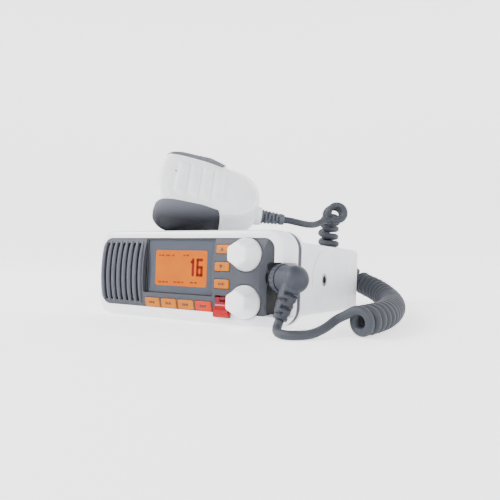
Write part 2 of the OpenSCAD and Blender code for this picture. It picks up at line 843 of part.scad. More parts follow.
module row_key(i, tint) {
    color(tint) at_rest() key_cap(row_x0 + i * row_step, row_z, row_w, row_h);
}

module column_key(i) {
    color([1.0, 0.65, 0.10]) at_rest() key_cap(column_x, column_z[i], side_w, side_h);
}

module row_key_1() {
    row_key(0, [1.0, 0.65, 0.10]);
}

module row_key_2() {
    row_key(1, [1.0, 0.65, 0.10]);
}

module row_key_3() {
    row_key(2, [1.0, 0.65, 0.10]);
}

module row_key_4() {
    row_key(3, [1.0, 0.43, 0.16]);
}

module up_key() {
    column_key(0);
}

module down_key() {
    column_key(1);
}

module scan_key() {
    column_key(2);
}

// The cover's side profile: a flap with a fuller lip for the finger
module cover_profile() {
    y0 = cover_y;
    top = cover_pin_z + 0.9;
    polygon([
        [y0, top], [y0 + cover_t, top], [y0 + cover_t, distress_z0],
        [y0 - cover_lip + 0.8, distress_z0],
        [y0 - cover_lip, distress_z0 + 1], [y0 - cover_lip, distress_z0 + 4.6],
        [y0, distress_z0 + 6.6]
    ]);
}

module distress_cover() {
    x0 = distress_x - distress_w / 2;
    color([0.80, 0.10, 0.14]) at_rest() difference() {
        union() {
            translate([x0, 0, 0]) rotate([90, 0, 90]) linear_extrude(distress_w) cover_profile();
            rod_x(x0, pin_y, cover_pin_z, 2 * lug_r, distress_w);
        }
        rod_x(x0 - over, pin_y, cover_pin_z, cover_pin_d + 2 * shaft_gap, distress_w + 2 * over);
        // room for the lug, also when the cover is up
        translate([distress_x - lug_w / 2 - lug_play, pin_y - 2 * lug_r, cover_pin_z - lug_r - lug_play])
            cube([lug_w + 2 * lug_play, 4 * lug_r, 4 * lug_r]);
    }
}

module cover_pin() {
    color([0.66, 0.67, 0.70]) at_rest()
        rod_x(distress_x - distress_w / 2 + fit, pin_y, cover_pin_z, cover_pin_d,
            distress_w - 2 * fit);
}

module distress_key() {
    y0 = pin_y + play;
    color([0.72, 0.08, 0.12]) at_rest() {
        back_from(y0, key_lip_y + key_lip_t - y0)
            rounded(distress_x - distress_key_w / 2, distress_key_z - distress_key_h / 2,
                distress_x + distress_key_w / 2, distress_key_z + distress_key_h / 2, key_r);
        key_lip(distress_x, distress_key_z, distress_key_w, distress_key_h);
    }
}

// ---- Knobs ----

module knob(z) {
    color([0.94, 0.94, 0.95]) at_rest() difference() {
        union() {
            rod_y(knob_x, knob_back - knob_skirt, z, knob_base_d, knob_skirt);
            hull() {
                rod_y(knob_x, knob_back - knob_skirt - 0.02, z, knob_base_d, 0.02, $fn = 32);
                for (i = [0:knob_flats - 1]) {
                    a = 360 / knob_flats * (i + 0.5);
                    rod_y(knob_x + cos(a) * (knob_cap_d / 2 - flute_in), knob_back - knob_l,
                        z + sin(a) * (knob_cap_d / 2 - flute_in), flute_d, 2.4, $fn = 16);
                }
            }
        }
        rod_y(knob_x, knob_back - knob_bore_l, z, shaft_d + 2 * shaft_gap, knob_bore_l + over);
    }
}

module volume_knob() {
    knob(knob_z[0]);
}

module squelch_knob() {
    knob(knob_z[1]);
}

module shaft(z) {
    color([0.70, 0.71, 0.73]) at_rest()
        rod_y(knob_x, knob_back - knob_bore_l + play, z, shaft_d,
            knob_bore_l - play - knob_back + shaft_in);
}

module volume_shaft() {
    shaft(knob_z[0]);
}

module squelch_shaft() {
    shaft(knob_z[1]);
}

module pot(z) {
    color([0.55, 0.56, 0.58]) at_rest() difference() {
        union() {
            rod_y(knob_x, knob_well + fit, z, bush_d, front_board_y + board_t - knob_well);
            rod_y(knob_x, front_board_y + board_t + fit, z, pot_d, pot_t);
        }
        rod_y(knob_x, -over, z, shaft_d + 2 * shaft_gap, shaft_in + over + play);
    }
}

module volume_pot() {
    pot(knob_z[0]);
}

module squelch_pot() {
    pot(knob_z[1]);
}

// ---- Inner pieces ----

module main_board() {
    color([0.10, 0.35, 0.18]) at_rest()
        translate([-main_board_w / 2, main_board_y0, main_board_z])
            cube([main_board_w, main_board_l, board_t]);
}

module rf_shield() {
    color([0.75, 0.76, 0.78]) at_rest()
        translate([-shield_w / 2, main_board_y0 + shield_back, main_board_z + board_t]) difference() {
            cube([shield_w, shield_l, shield_h]);
            translate([shield_t, shield_t, -over])
                cube([shield_w - 2 * shield_t, shield_l - 2 * shield_t, shield_h - shield_t + over]);
        }
}

// ---- Plug ----

// The socket's centre on its wall, with X along the plug
module plug_place() {
    translate([socket_x, socket_y, plug_z]) rotate([0, 0, -plug_turn]) children();
}

module mic_socket() {
    pins = 6;
    pin_ring = 2.8;
    color([0.10, 0.10, 0.11]) at_rest() plug_place() difference() {
        rod_x(-socket_l, 0, 0, socket_d, socket_l + socket_nose - fit);
        for (a = [0:360 / pins:359])
            rod_x(socket_nose - 4, pin_ring * cos(a), pin_ring * sin(a), 1.2, 5);
    }
}

module plug_ring() {
    grips = 18;
    grip_d = 1.5;
    color([0.36, 0.38, 0.42]) at_rest() plug_place() difference() {
        rod_x(socket_nose, 0, 0, plug_ring_d, plug_ring_l);
        for (a = [0:360 / grips:359])
            rod_x(socket_nose - over, (plug_ring_d / 2 + 0.35) * cos(a),
                (plug_ring_d / 2 + 0.35) * sin(a), grip_d, plug_ring_l + 2 * over);
    }
}

// The right-angle boot: a domed barrel and a slotted sleeve for the cord
module plug_boot() {
    x0 = socket_nose + plug_ring_l + fit;
    slot_step = 4;
    slot_z0 = 9.5;
    slot_h = 1.4;
    color([0.38, 0.40, 0.44]) at_rest() plug_place() difference() {
        union() {
            rod_x(x0, 0, 0, plug_d, plug_l - dome_l);
            hull() {
                rod_x(x0 + plug_l - dome_l - 0.2, 0, 0, plug_d, 0.2, $fn = 32);
                rod_x(x0 + plug_l - 1, 0, 0, plug_d - 3.4, 0.2, $fn = 32);
                rod_x(x0 + plug_l, 0, 0, plug_d - 8, 0.2, $fn = 32);
            }
            boot_place() cylinder(d1 = boot_d0, d2 = boot_d1, h = boot_l);
        }
        boot_place() for (i = [0:boot_slots - 1], side = [0, 180])
            rotate([0, 0, side + (i % 2) * 90])
                translate([2.4, -boot_d0 / 2, slot_z0 + i * slot_step]) cube([boot_d0, boot_d0, slot_h]);
    }
}

// The sleeve's axis: down from the barrel and leaning forward
module boot_place() {
    translate([boot_at, 0, 0]) rotate([180 - boot_tilt, 0, 0]) children();
}

// ---- Cord ----

// A smooth curve through given points, u from 0 to the last index
function curve(p, u) = let(
    n = len(p) - 1,
    i = min(floor(u), n - 1),
    t = u - i,
    a = i == 0 ? 2 * p[0] - p[1] : p[i - 1],
    b = p[i],
    c = p[i + 1],
    e = i + 2 > n ? 2 * p[n] - p[n - 1] : p[i + 2]
) 0.5 * (2 * b + (c - a) * t + (2 * a - 5 * b + 4 * c - e) * t * t
    + (3 * b - a - 3 * c + e) * t * t * t);

function unit(v) = v / norm(v);

// Directions along a row of points
function headings(p) = [for (i = [0:len(p) - 1])
    unit(p[min(i + 1, len(p) - 1)] - p[max(i - 1, 0)])];

// One cross direction per point, carried along without twisting
function carried(t, i = 1, done = []) = let(
    last = len(done) == 0 ? unit(cross(t[0], abs(t[0][2]) < 0.9 ? [0, 0, 1] : [1, 0, 0]))
        : done[len(done) - 1],
    all = len(done) == 0 ? [last] : done
) i >= len(t) ? all
    : carried(t, i + 1, concat(all, [unit(last - (last * t[i]) * t[i])]));

// Round tube along a row of points, as one closed skin
module tube(p, d, sides) {
    t = headings(p);
    across = carried(t);
    rows = len(p);
    ring = [for (i = [0:rows - 1], j = [0:sides - 1]) let(
        a = 360 * j / sides,
        up = cross(t[i], across[i])
    ) p[i] + d / 2 * (cos(a) * across[i] + sin(a) * up)];
    skin = [for (i = [0:rows - 2], j = [0:sides - 1], half = [0, 1]) let(
        a = i * sides + j,
        b = i * sides + (j + 1) % sides
    ) half == 0 ? [a, b, a + sides] : [b, b + sides, a + sides]];
    caps = concat(
        [[for (j = [0:sides - 1]) sides - 1 - j]],
        [[for (j = [0:sides - 1]) (rows - 1) * sides + j]]);
    polyhedron(points = ring, faces = [for (f = concat(skin, caps)) [for (k = [len(f) - 1:-1:0]) f[k]]]);
}

// The coil: how far the curls advance per turn grows where its route bends
curl_r = (coil_d - cord_d) / 2;
coil_steps = 8;
coil_line = [for (i = [0:(len(coil_route) - 1) * coil_steps]) curve(coil_route, i / coil_steps)];
coil_t = headings(coil_line);
coil_a = carried(coil_t);
function coil_bend(i) = let(n = len(coil_line) - 1, j = max(1, min(n - 1, i)))
    norm(coil_t[j + 1] - coil_t[j - 1]) / norm(coil_line[j + 1] - coil_line[j - 1]);
coil_rate = [for (i = [0:len(coil_line) - 1])
    360 * (1 - curl_r * coil_bend(i)) / (cord_d * 1.02 + curl_gap)];
coil_gaps = [for (i = [1:len(coil_line) - 1]) norm(coil_line[i] - coil_line[i - 1])];
function summed(v, i = 0, s = [0]) = i >= len(v) ? s
    : summed(v, i + 1, concat(s, [s[len(s) - 1] + v[i]]));
coil_run = summed(coil_gaps);

// The curls wind one way up to the swap and the other way after it
coil_swap = 163.2;
coil_swap_w = 8;
function winding(i) = max(-1, min(1, (coil_swap - coil_run[i]) / coil_swap_w));
coil_phase = summed([for (i = [1:len(coil_line) - 1])
    (coil_rate[i] * winding(i) + coil_rate[i - 1] * winding(i - 1)) / 2 * coil_gaps[i - 1]]);
coil_walk = summed([for (i = [1:len(coil_line) - 1])
    coil_rate[i] * max(0.6, abs(winding(i))) * coil_gaps[i - 1]]);
coil_turn = coil_walk[len(coil_walk) - 1];
rings_per_curl = 8;
coil_n = floor(coil_turn / 360 * rings_per_curl);
coil_start = 235;

function place_of(a, i) = coil_walk[i + 1] >= a || i >= len(coil_walk) - 2 ? i : place_of(a, i + 1);
function coil_point(a) = let(
    i = place_of(a, 0),
    f = (a - coil_walk[i]) / (coil_walk[i + 1] - coil_walk[i]),
    c = coil_line[i] * (1 - f) + coil_line[i + 1] * f,
    t = unit(coil_t[i] * (1 - f) + coil_t[i + 1] * f),
    x = unit(coil_a[i] * (1 - f) + coil_a[i + 1] * f),
    y = cross(t, x),
    q = coil_phase[i] * (1 - f) + coil_phase[i + 1] * f + coil_start
) c + curl_r * (cos(q) * x + sin(q) * y);
coil_curls = [for (k = [0:coil_n]) coil_point(coil_turn * k / coil_n)];
// Direction of a curve through three points in a row, at the first of them
function leaving(a, b, c) = unit(3 * a - 4 * b + c);
coil_in = leaving(coil_curls[0], coil_curls[1], coil_curls[2]);
coil_out = leaving(coil_curls[coil_n], coil_curls[coil_n - 1], coil_curls[coil_n - 2]);
coil_lead = cord_d * 1.1;
coil_points = concat(
    [coil_curls[0] + coil_in * coil_lead],
    coil_curls,
    [coil_curls[coil_n] + coil_out * coil_lead]);

// Least gap between stretches of the tube that are half a curl or more apart
coil_least = min([for (i = [0:coil_n - rings_per_curl])
    min([for (j = [i + rings_per_curl - 3:min(i + 2 * rings_per_curl, coil_n)])
        norm(coil_curls[i] - coil_curls[j])])]) - cord_d;
echo(curls = coil_n / rings_per_curl, least_gap = coil_least, run = coil_run[len(coil_run) - 1],
    start = coil_points[0], start_way = coil_in, end = coil_points[len(coil_points) - 1],
    end_way = coil_out);

module cord_to_plug() {
    color([0.42, 0.44, 0.48]) tube(front_line, cord_d, 8);
}

module cord_coil() {
    color([0.40, 0.42, 0.46]) tube(coil_points, cord_d, 6);
}

module cord_to_mic() {
    color([0.42, 0.44, 0.48]) tube(mic_line, cord_d, 8);
}

front_line = [for (i = [0:(len(front_route) - 1) * 4]) curve(front_route, i / 4)];
mic_line = [for (i = [0:(len(mic_route) - 1) * 4]) curve(mic_route, i / 4)];

// ---- Hand microphone, drawn with its length along X and its face up ----

// Plan outline: a broad head that narrows to a round foot
module mic_plan(g) {
    intersection() {
        union() {
            translate([mic_l - mic_end_w / 2, 0]) circle(d = mic_end_w - 2 * g, $fn = 40);
            translate([g, -mic_w / 2 + g]) polygon([
                [0, 20], [2, 10], [7, 3], [16, 0], [38, 0],
                [mic_l - mic_end_w / 2 - g, (mic_w - mic_end_w) / 2],
                [mic_l - mic_end_w / 2 - g, mic_w - 2 * g - (mic_w - mic_end_w) / 2],
                [38, mic_w - 2 * g], [16, mic_w - 2 * g], [7, mic_w - 3 - 2 * g],
                [2, mic_w - 10 - 2 * g], [0, mic_w - 20 - 2 * g]
            ]);
        }
        translate([g, -mic_w]) square([mic_l - 2 * g, 2 * mic_w]);
    }
}

// The whole case as one rounded body, drawn in by g all round
module mic_body(g) {
    h = mic_front_h;
    b = mic_back_h;
    hull() {
        translate([0, 0, h - g]) rotate([0, face_slope, 0]) translate([0, 0, -0.1])
            linear_extrude(0.1) mic_plan(g + mic_face_in + 2);
        translate([0, 0, h - g - 3]) rotate([0, face_slope, 0]) translate([0, 0, -0.1])
            linear_extrude(0.1) mic_plan(g + mic_face_in / 2);
        translate([0, 0, h / 3]) linear_extrude(0.1) mic_plan(g + 0.8);
        translate([0, 0, -b / 4]) rotate([0, back_slope, 0]) linear_extrude(0.1) mic_plan(g);
        translate([0, 0, -b + g + 4]) rotate([0, back_slope, 0]) linear_extrude(0.1) mic_plan(g + 3);
        translate([0, 0, -b + g]) rotate([0, back_slope, 0]) linear_extrude(0.1) mic_plan(g + 9);
    }
}

// Height of the front shell's face at a distance from the head
function face_z(x) = mic_front_h - x * tan(face_slope);

// The strip along one long side that carries a grip
module grip_zone(side, g) {
    i = side > 0 ? 1 : 0;
    difference() {
        translate([0, 0, -mic_back_h + 3 - g]) linear_extrude(mic_front_h + mic_back_h) polygon([
            [grip_x0 - g, side * (grip_y[i] - g)],
            [2 * grip_x1, side * (grip_y_foot[i] - g)],
            [2 * grip_x1, side * mic_w],
            [grip_x0 - g, side * mic_w]
        ]);
        translate([grip_x1 + g, 0, mic_front_h / 2]) rotate([0, grip_slant, 0])
            translate([0, -2 * mic_w, -2 * mic_w]) cube(4 * mic_w);
    }
}

module mic_shell(z0, h) {
    difference() {
        intersection() {
            mic_body(0);
            translate([-over, -mic_w, z0]) cube([mic_l + 2 * over, 2 * mic_w, h]);
        }
        intersection() {
            mic_body(mic_wall + grip_t);
            translate([-over, -mic_w, z0 - over]) cube([mic_l + 2 * over, 2 * mic_w, h + 2 * over]);
        }
        for (side = [-1, 1]) difference() {
            grip_zone(side, grip_gap);
            mic_body(grip_t + grip_gap);
        }
    }
}

module mic_front_shell() {
    color([0.94, 0.94, 0.95]) mic_place() difference() {
        union() {
            mic_shell(parting, mic_front_h);
            for (i = [0:rib_n - 1])
                translate([rib_x0 + i * rib_pitch, rib_span / 2,
                    face_z(rib_x0 + i * rib_pitch) + rib_rise - rib_w / 2])
                    rotate([90, 0, 0]) cylinder(d = rib_w, h = rib_span);
        }
        translate([rib_x0 - rib_pitch * 0.55, 4, 4]) cylinder(d = 1.6, h = mic_front_h);
        mic_hollow();
    }
}

// Room under the face for the capsule and the board
module mic_hollow() {
    translate([10, -15, -mic_back_h + 4]) cube([50, 30, face_z(60) + mic_back_h - 4 - mic_wall - 1.5]);
}

module mic_back_shell() {
    color([0.90, 0.90, 0.92]) mic_place() difference() {
        union() {
            mic_shell(-2 * mic_back_h, 2 * mic_back_h - parting);
            neck_place() cylinder(d1 = neck_d, d2 = neck_d - 2, h = neck_l);
            // posts under the board
            for (x = mic_post_x, y = [-8, 8]) {
                low = mic_back_h - 2 + x * tan(back_slope);
                translate([x, y, -low]) cylinder(d = 4, h = low - 1 - fit);
            }
        }
        neck_place() translate([0, 0, neck_l - relief_sunk]) cylinder(d = relief_d0 + 2 * fit, h = neck_l);
        back_place(stud_x) translate([0, 0, -over]) cylinder(d = stud_neck_d + 2 * fit, h = 6);
        for (x = mic_screw_x) back_place(x) translate([0, 0, -over]) cylinder(d = 3 + 2 * fit, h = 8);
    }
}

mic_screw_x = [12, mic_l - 16];
mic_post_x = [18.3, 47.7];

module mic_grip(side) {
    intersection() {
        difference() {
            mic_body(0);
            mic_body(grip_t);
        }
        grip_zone(side, 0);
    }
}

module mic_upper_grip() {
    color([0.55, 0.56, 0.58]) mic_place() mic_grip(1);
}

module ptt_zone(g) {
    translate([key_x0 - g, -mic_w, key_z - key_h / 2 - g])
        cube([key_x1 - key_x0 + 2 * g, mic_w, key_h + 2 * g]);
}

module mic_lower_grip() {
    color([0.36, 0.37, 0.42]) mic_place() difference() {
        mic_grip(-1);
        ptt_zone(play);
    }
}

module ptt_key() {
    color([0.14, 0.14, 0.17]) mic_place() intersection() {
        translate([0, -ptt_rise, 0]) difference() {
            mic_body(0);
            mic_body(grip_t);
        }
        ptt_zone(0);
    }
}

module mic_capsule() {
    color([0.60, 0.60, 0.62]) mic_place()
        translate([rib_x0 - rib_pitch * 0.55, 4, 0.4]) cylinder(d = capsule_d, h = 4);
}

module mic_board() {
    color([0.10, 0.35, 0.18]) mic_place() translate([13, -13, -1]) cube([46, 26, 1.4]);
}

module mic_screws() {
    color([0.70, 0.71, 0.73]) mic_place() for (x = mic_screw_x)
        back_place(x) translate([0, 0, 0.4]) cylinder(d = 3, h = 3.6);
}

// A place on the outside of the back shell, Z into the shell
module back_place(x) {
    translate([0, 0, -mic_back_h]) rotate([0, back_slope, 0]) translate([x, 0, 0]) children();
}

module hanger_stud() {
    color([0.75, 0.76, 0.78]) mic_place() back_place(stud_x) translate([0, 0, -stud_rise]) {
        cylinder(d = stud_d, h = stud_head);
        cylinder(d = stud_neck_d, h = stud_rise + 3);
    }
}

// Where the cord leaves the microphone's foot
module neck_place() {
    translate([neck_x, 0, neck_z]) rotate([0, 90, 0]) children();
}

module mic_relief() {
    rib_step = 3.3;
    groove = 1.2;
    color([0.40, 0.41, 0.45]) mic_place() neck_place() translate([0, 0, neck_l - relief_sunk + fit])
        difference() {
            union() {
                cylinder(d = relief_d0, h = relief_sunk);
                translate([0, 0, relief_sunk])
                    cylinder(d1 = relief_d0, d2 = relief_d1, h = relief_l - relief_sunk);
            }
            for (i = [0:relief_ribs - 1])
                translate([0, 0, relief_sunk + 1.5 + i * rib_step]) difference() {
                    cylinder(d = relief_d0 + 2, h = groove);
                    cylinder(d = relief_d1 - 1.6, h = 4 * groove, center = true);
                }
        }
}

rear_housing();
heat_sink();
case_screws();
front_bezel();
bezel_gasket();
front_panel();
speaker_mesh();
speaker_frame();
speaker_cone();
speaker_magnet();
display_lens();
lcd_glass();
lcd_backlight();
front_board();
key_switches();
row_key_1();
row_key_2();
row_key_3();
row_key_4();
up_key();
down_key();
scan_key();
distress_cover();
cover_pin();
distress_key();
volume_pot();
squelch_pot();
volume_shaft();
squelch_shaft();
volume_knob();
squelch_knob();
main_board();
rf_shield();
bracket_insert_left();
bracket_insert_right();
antenna_socket();
antenna_contact();
power_gland();
speaker_jack();
mic_socket();
plug_ring();
plug_boot();
cord_to_plug();
cord_coil();
cord_to_mic();
mic_relief();
mic_front_shell();
mic_back_shell();
mic_upper_grip();
mic_lower_grip();
ptt_key();
mic_capsule();
mic_board();
mic_screws();
hanger_stud();
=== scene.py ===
from itertools import accumulate

import bpy
import numpy as np
from mathutils import Matrix, Vector


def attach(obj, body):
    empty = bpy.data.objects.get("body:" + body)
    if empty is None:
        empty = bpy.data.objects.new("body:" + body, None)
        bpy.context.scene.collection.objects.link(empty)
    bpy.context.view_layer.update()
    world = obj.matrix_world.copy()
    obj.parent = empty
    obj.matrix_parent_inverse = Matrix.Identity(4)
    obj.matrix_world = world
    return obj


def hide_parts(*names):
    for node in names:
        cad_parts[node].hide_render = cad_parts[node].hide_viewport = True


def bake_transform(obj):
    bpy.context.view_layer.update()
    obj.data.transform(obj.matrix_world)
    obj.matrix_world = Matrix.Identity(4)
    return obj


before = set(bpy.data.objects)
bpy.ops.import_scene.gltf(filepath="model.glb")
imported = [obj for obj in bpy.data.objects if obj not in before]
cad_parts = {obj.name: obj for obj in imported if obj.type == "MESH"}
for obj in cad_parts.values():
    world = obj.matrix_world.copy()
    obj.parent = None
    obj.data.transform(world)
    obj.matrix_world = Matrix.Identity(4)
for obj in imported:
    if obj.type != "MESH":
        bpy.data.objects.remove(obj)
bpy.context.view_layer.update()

# ---- The view ----
# The radio is seen from its front right, from a little above the table, with a short lens.
# Sideways shift is the small one that the photograph's framing has.
view_place = (0.20927, -0.32805, 0.05096)
view_right = (0.86436, 0.50284, 0.00595)
view_up = (-0.01491, 0.01378, 0.99979)
view_back = (0.50265, -0.86427, 0.01941)
camera = bpy.data.objects.new("camera", bpy.data.cameras.new("camera"))
camera.data.lens = 37.11
camera.data.sensor_width = 36
camera.data.shift_x = -0.0042
camera.data.shift_y = 0.0070
camera.data.clip_start = 0.01
camera.matrix_world = Matrix.Translation(view_place) @ Matrix((view_right, view_up, view_back)).transposed().to_4x4()
bpy.context.scene.collection.objects.link(camera)
bpy.context.scene.camera = camera

# ---- The studio ----
# A pale round bowl: a flat floor that curves up into a wall all round, so that the ground and
# the background are one white from every side. Three soft lamps and an even sky light it.


def turned(profile, sides):
    """Surface of revolution about Z: (r cos a, r sin a, z) for each (r, z) of the profile, a going once round."""
    a = np.linspace(0, 2 * np.pi, sides, endpoint=False)
    r, z = np.asarray(profile, float).T[:, :, None]
    return np.stack([r * np.cos(a), r * np.sin(a), z + 0 * a], axis=2)


def sheet_faces(rows, columns, round_rows=False, round_columns=True):
    """Four-sided faces between neighbouring rows and columns of a grid of points."""
    i, j = np.meshgrid(np.arange(rows - (not round_rows)), np.arange(columns - (not round_columns)), indexing="ij")
    i, j = i.ravel(), j.ravel()
    up, on = (i + 1) % rows, (j + 1) % columns
    return np.stack([i * columns + j, i * columns + on, up * columns + on, up * columns + j], axis=1)


def made(name, points, faces, smooth=True):
    """A Blender mesh object of these points and faces."""
    mesh = bpy.data.meshes.new(name)
    mesh.from_pydata(np.asarray(points, float).reshape(-1, 3).tolist(), [], [list(map(int, f)) for f in faces])
    mesh.polygons.foreach_set("use_smooth", [smooth] * len(mesh.polygons))
    mesh.update()
    thing = bpy.data.objects.new(name, mesh)
    bpy.context.scene.collection.objects.link(thing)
    return thing


turn = np.linspace(0, np.pi / 2, 24)
bowl_line = np.vstack([[0.001, 0], [0.3, 0], [0.9, 0],
                       np.stack([1.2 + 0.8 * np.sin(turn), 0.8 - 0.8 * np.cos(turn)], 1), [2.0, 2.2]])
bowl = made("studio_floor", turned(bowl_line, 96), sheet_faces(len(bowl_line), 96)[:, ::-1])


class Field:
    """A value that varies over a surface, or a whole material's shader. Arithmetic on it adds Math nodes."""

    def __init__(self, tree, socket):
        self.tree, self.socket = tree, socket

    def node(self, kind, settings=(), sockets=(), out=0):
        """Adds a node: its settings first, then a value or a Field for each of the sockets named."""
        node = self.tree.nodes.new(kind)
        for key, value in dict(settings).items():
            if key == "stops":
                ramp = node.color_ramp.elements
                while len(ramp) < len(value):
                    ramp.new(0.5)
                for stop, (place, grey) in zip(ramp, value):
                    stop.position, stop.color = place, (grey, grey, grey, 1)
            else:
                setattr(node, key, value)
        for key, value in dict(sockets).items():
            if isinstance(value, Field):
                self.tree.links.new(value.socket, node.inputs[key])
            else:
                node.inputs[key].default_value = value
        return Field(self.tree, node.outputs[out])

    def maths(self, operation, *values):
        return self.node("ShaderNodeMath", {"operation": operation}, dict(enumerate(values)))

    def __add__(self, other):
        return self.maths("ADD", self, other)

    def __sub__(self, other):
        return self.maths("SUBTRACT", self, other)

    def __rsub__(self, other):
        return self.maths("SUBTRACT", other, self)

    def __mul__(self, other):
        return self.maths("MULTIPLY", self, other)

    def __truediv__(self, other):
        return self.maths("DIVIDE", self, other)

    def __abs__(self):
        return self.maths("ABSOLUTE", self)

    __radd__ = __add__
    __rmul__ = __mul__

    def between(self, low, high):
        """0 below low, 1 above high, and a smooth rise between."""
        return self.node("ShaderNodeMapRange", {"interpolation_type": "SMOOTHSTEP"},
                         {"Value": self, "From Min": low, "From Max": high})

    def tint(self, colour, other):
        """The first colour where this is 0 and the other where it is 1."""
        return self.node("ShaderNodeMix", {"data_type": "RGBA"}, {0: self, 6: colour, 7: other}, out=2)


def place_of(material):
    """The position on the object, in metres."""
    return Field(material.node_tree, None).node("ShaderNodeTexCoord", out=3)


def speckle(place, size, detail=2.0):
    """Soft random spots about this size, from 0 to 1."""
    return place.node("ShaderNodeTexNoise", {}, {"Vector": place, "Scale": 1 / size, "Detail": detail})


def rgb(red, green, blue):
    """A colour given as screen values from 0 to 255, as linear light."""
    c = np.array([red, green, blue]) / 255
    return (*np.where(c <= 0.04045, c / 12.92, ((c + 0.055) / 1.055) ** 2.4).tolist(), 1.0)


def finish(name, colour, rough, metal=0.0, **steady):
    """A named material with one shader, its steady numbers on its own sockets."""
    material = bpy.data.materials.new(name)
    material.use_nodes = True
    shader = material.node_tree.nodes["Principled BSDF"]
    values = {"Base Color": colour, "Roughness": rough, "Metallic": metal, **{k.replace("_", " "): v for k, v in steady.items()}}
    for key, value in values.items():
        shader.inputs[key].default_value = value
    return material


def drive(material, **fields):
    """Joins fields to sockets of a material's shader: base, rough, metal, coat, and height with its depth in metres."""
    tree = material.node_tree
    shader = tree.nodes["Principled BSDF"]
    socket = {"base": "Base Color", "rough": "Roughness", "metal": "Metallic", "coat": "Coat Weight", "glow": "Emission Color"}
    for key, field in fields.items():
        if key == "height":
            field, depth = field
            field = field.node("ShaderNodeBump", {}, {"Height": field, "Distance": depth, "Strength": 1.0})
            tree.links.new(field.socket, shader.inputs["Normal"])
        else:
            tree.links.new(field.socket, shader.inputs[socket[key]])


def moulded(name, colour, rough, grain=0.0004, depth=0.00002, **steady):
    """A moulded or painted finish: fine grain in the surface, and faint broad changes in colour and shine."""
    material = finish(name, colour, rough, **steady)
    place = place_of(material)
    fine, broad = speckle(place, grain), speckle(place, 0.012, 3)
    dim = tuple(0.93 * c for c in colour[:3]) + (1,)
    drive(material, base=broad.between(0.35, 0.75).tint(dim, colour), rough=broad * 0.12 + (rough - 0.06),
          height=(fine, depth))
    return material


studio_white = finish("studio_white", (0.7, 0.7, 0.705, 1), 0.9, Emission_Color=(1, 1, 1, 1), Emission_Strength=1.45)
cloudy = speckle(place_of(studio_white), 0.6)
drive(studio_white, base=cloudy.tint((0.695, 0.695, 0.70, 1), (0.705, 0.705, 0.71, 1)))
bowl.data.materials.append(studio_white)
sky = bpy.data.worlds.new("sky")
bpy.context.scene.world = sky
sky.use_nodes = True
sky.node_tree.nodes["Background"].inputs["Color"].default_value = (1, 1, 1, 1)
sky.node_tree.nodes["Background"].inputs["Strength"].default_value = 0.2
for name, place, target, size, power in [
        ("key_lamp", (-0.85, -0.7, 0.95), (0, 0, 0.05), 0.5, 27),
        ("fill_lamp", (1.0, -0.5, 0.7), (0, 0, 0.05), 0.8, 1.0),
        ("back_lamp", (0.3, 1.0, 1.1), (0, 0, 0.05), 0.8, 5)]:
    lamp = bpy.data.objects.new(name, bpy.data.lights.new(name, "AREA"))
    lamp.data.size, lamp.data.energy = size, power
    lamp.location = place
    lamp.rotation_euler = (Vector(target) - Vector(place)).to_track_quat("-Z", "Y").to_euler()
    bpy.context.scene.collection.objects.link(lamp)

# ---- The cords ----
# One grey rubber-covered cord, 5.2 mm thick. It is plain at the radio's plug, then wound into
# 35 close curls that lie round the back of the set and climb to the microphone, then plain again.
cord_d = 0.0052
coil_d = 0.0176
curl_gap = 0.0007
to_plug_mm = [[79, -73, 8.6], [78.4, -74.8, 5], [80.5, -79, 2.9], [87, -84, 2.7], [94, -82, 2.7],
              [99, -74.5, 2.8], [102.8, -65.5, 5], [106.6, -58.2, 9.0], [111.1, -58.6, 11.5]]
coil_mm = [[119.5, -60, 9.2], [122, -50, 9.2], [124, -30, 9.2], [122, -6, 9.2], [117, 18, 9.4],
           [110, 38, 10.5], [101, 54, 13], [91, 66, 16], [79, 76, 19], [67, 83, 24.5], [54.5, 87, 32],
           [46.3, 87.7, 42], [43.8, 86.9, 51], [43.6, 86.2, 58.7], [44.5, 85.2, 65.4], [47, 82.4, 71.1],
           [50.8, 78.15, 74.9], [55.3, 73.2, 76.2], [58.7, 67.8, 76.2]]
to_hand_mm = [[31.66, 25.86, 69.14], [36.07, 29.06, 68.37], [41, 34.4, 66.9], [44.5, 42.5, 65.9],
              [46.8, 51.5, 66.5], [50.6, 61.05, 69.55], [54.07, 63.98, 69.79]]
coil_steps = 8
coil_swap = 0.1632
coil_swap_width = 0.0055
coil_start = np.radians(235)


def through(points, u):
    """Smooth curve through a row of points. Within span i, half of (2b + (c - a)t + (2a - 5b + 4c - e)tt
    + (3b - a - 3c + e)ttt), where a, b, c, e are the four points round the span and t = u - i."""
    p = np.vstack([2 * np.array(points[0]) - points[1], points, 2 * np.array(points[-1]) - points[-2]]) / 1000
    i = np.minimum(np.floor(u).astype(int), len(points) - 2)
    t = (u - i)[:, None]
    a, b, c, e = p[i], p[i + 1], p[i + 2], p[i + 3]
    return 0.5 * (2 * b + (c - a) * t + (2 * a - 5 * b + 4 * c - e) * t**2 + (3 * b - a - 3 * c + e) * t**3)


def unit(v):
    """Vectors of length one."""
    return v / np.linalg.norm(v, axis=-1, keepdims=True)


def ways_along(line):
    """Unit directions of a line: at each point, from the one before to the one after."""
    k = np.arange(len(line))
    return unit(line[np.minimum(k + 1, k[-1])] - line[np.maximum(k - 1, 0)])


def ways_across(ways):
    """One direction square to the line per point: each is the last one, less its part along the line."""
    first = unit(np.cross(ways[0], (0, 0, 1)))
    return np.array(list(accumulate(ways[1:], lambda last, way: unit(last - (last @ way) * way), initial=first)))


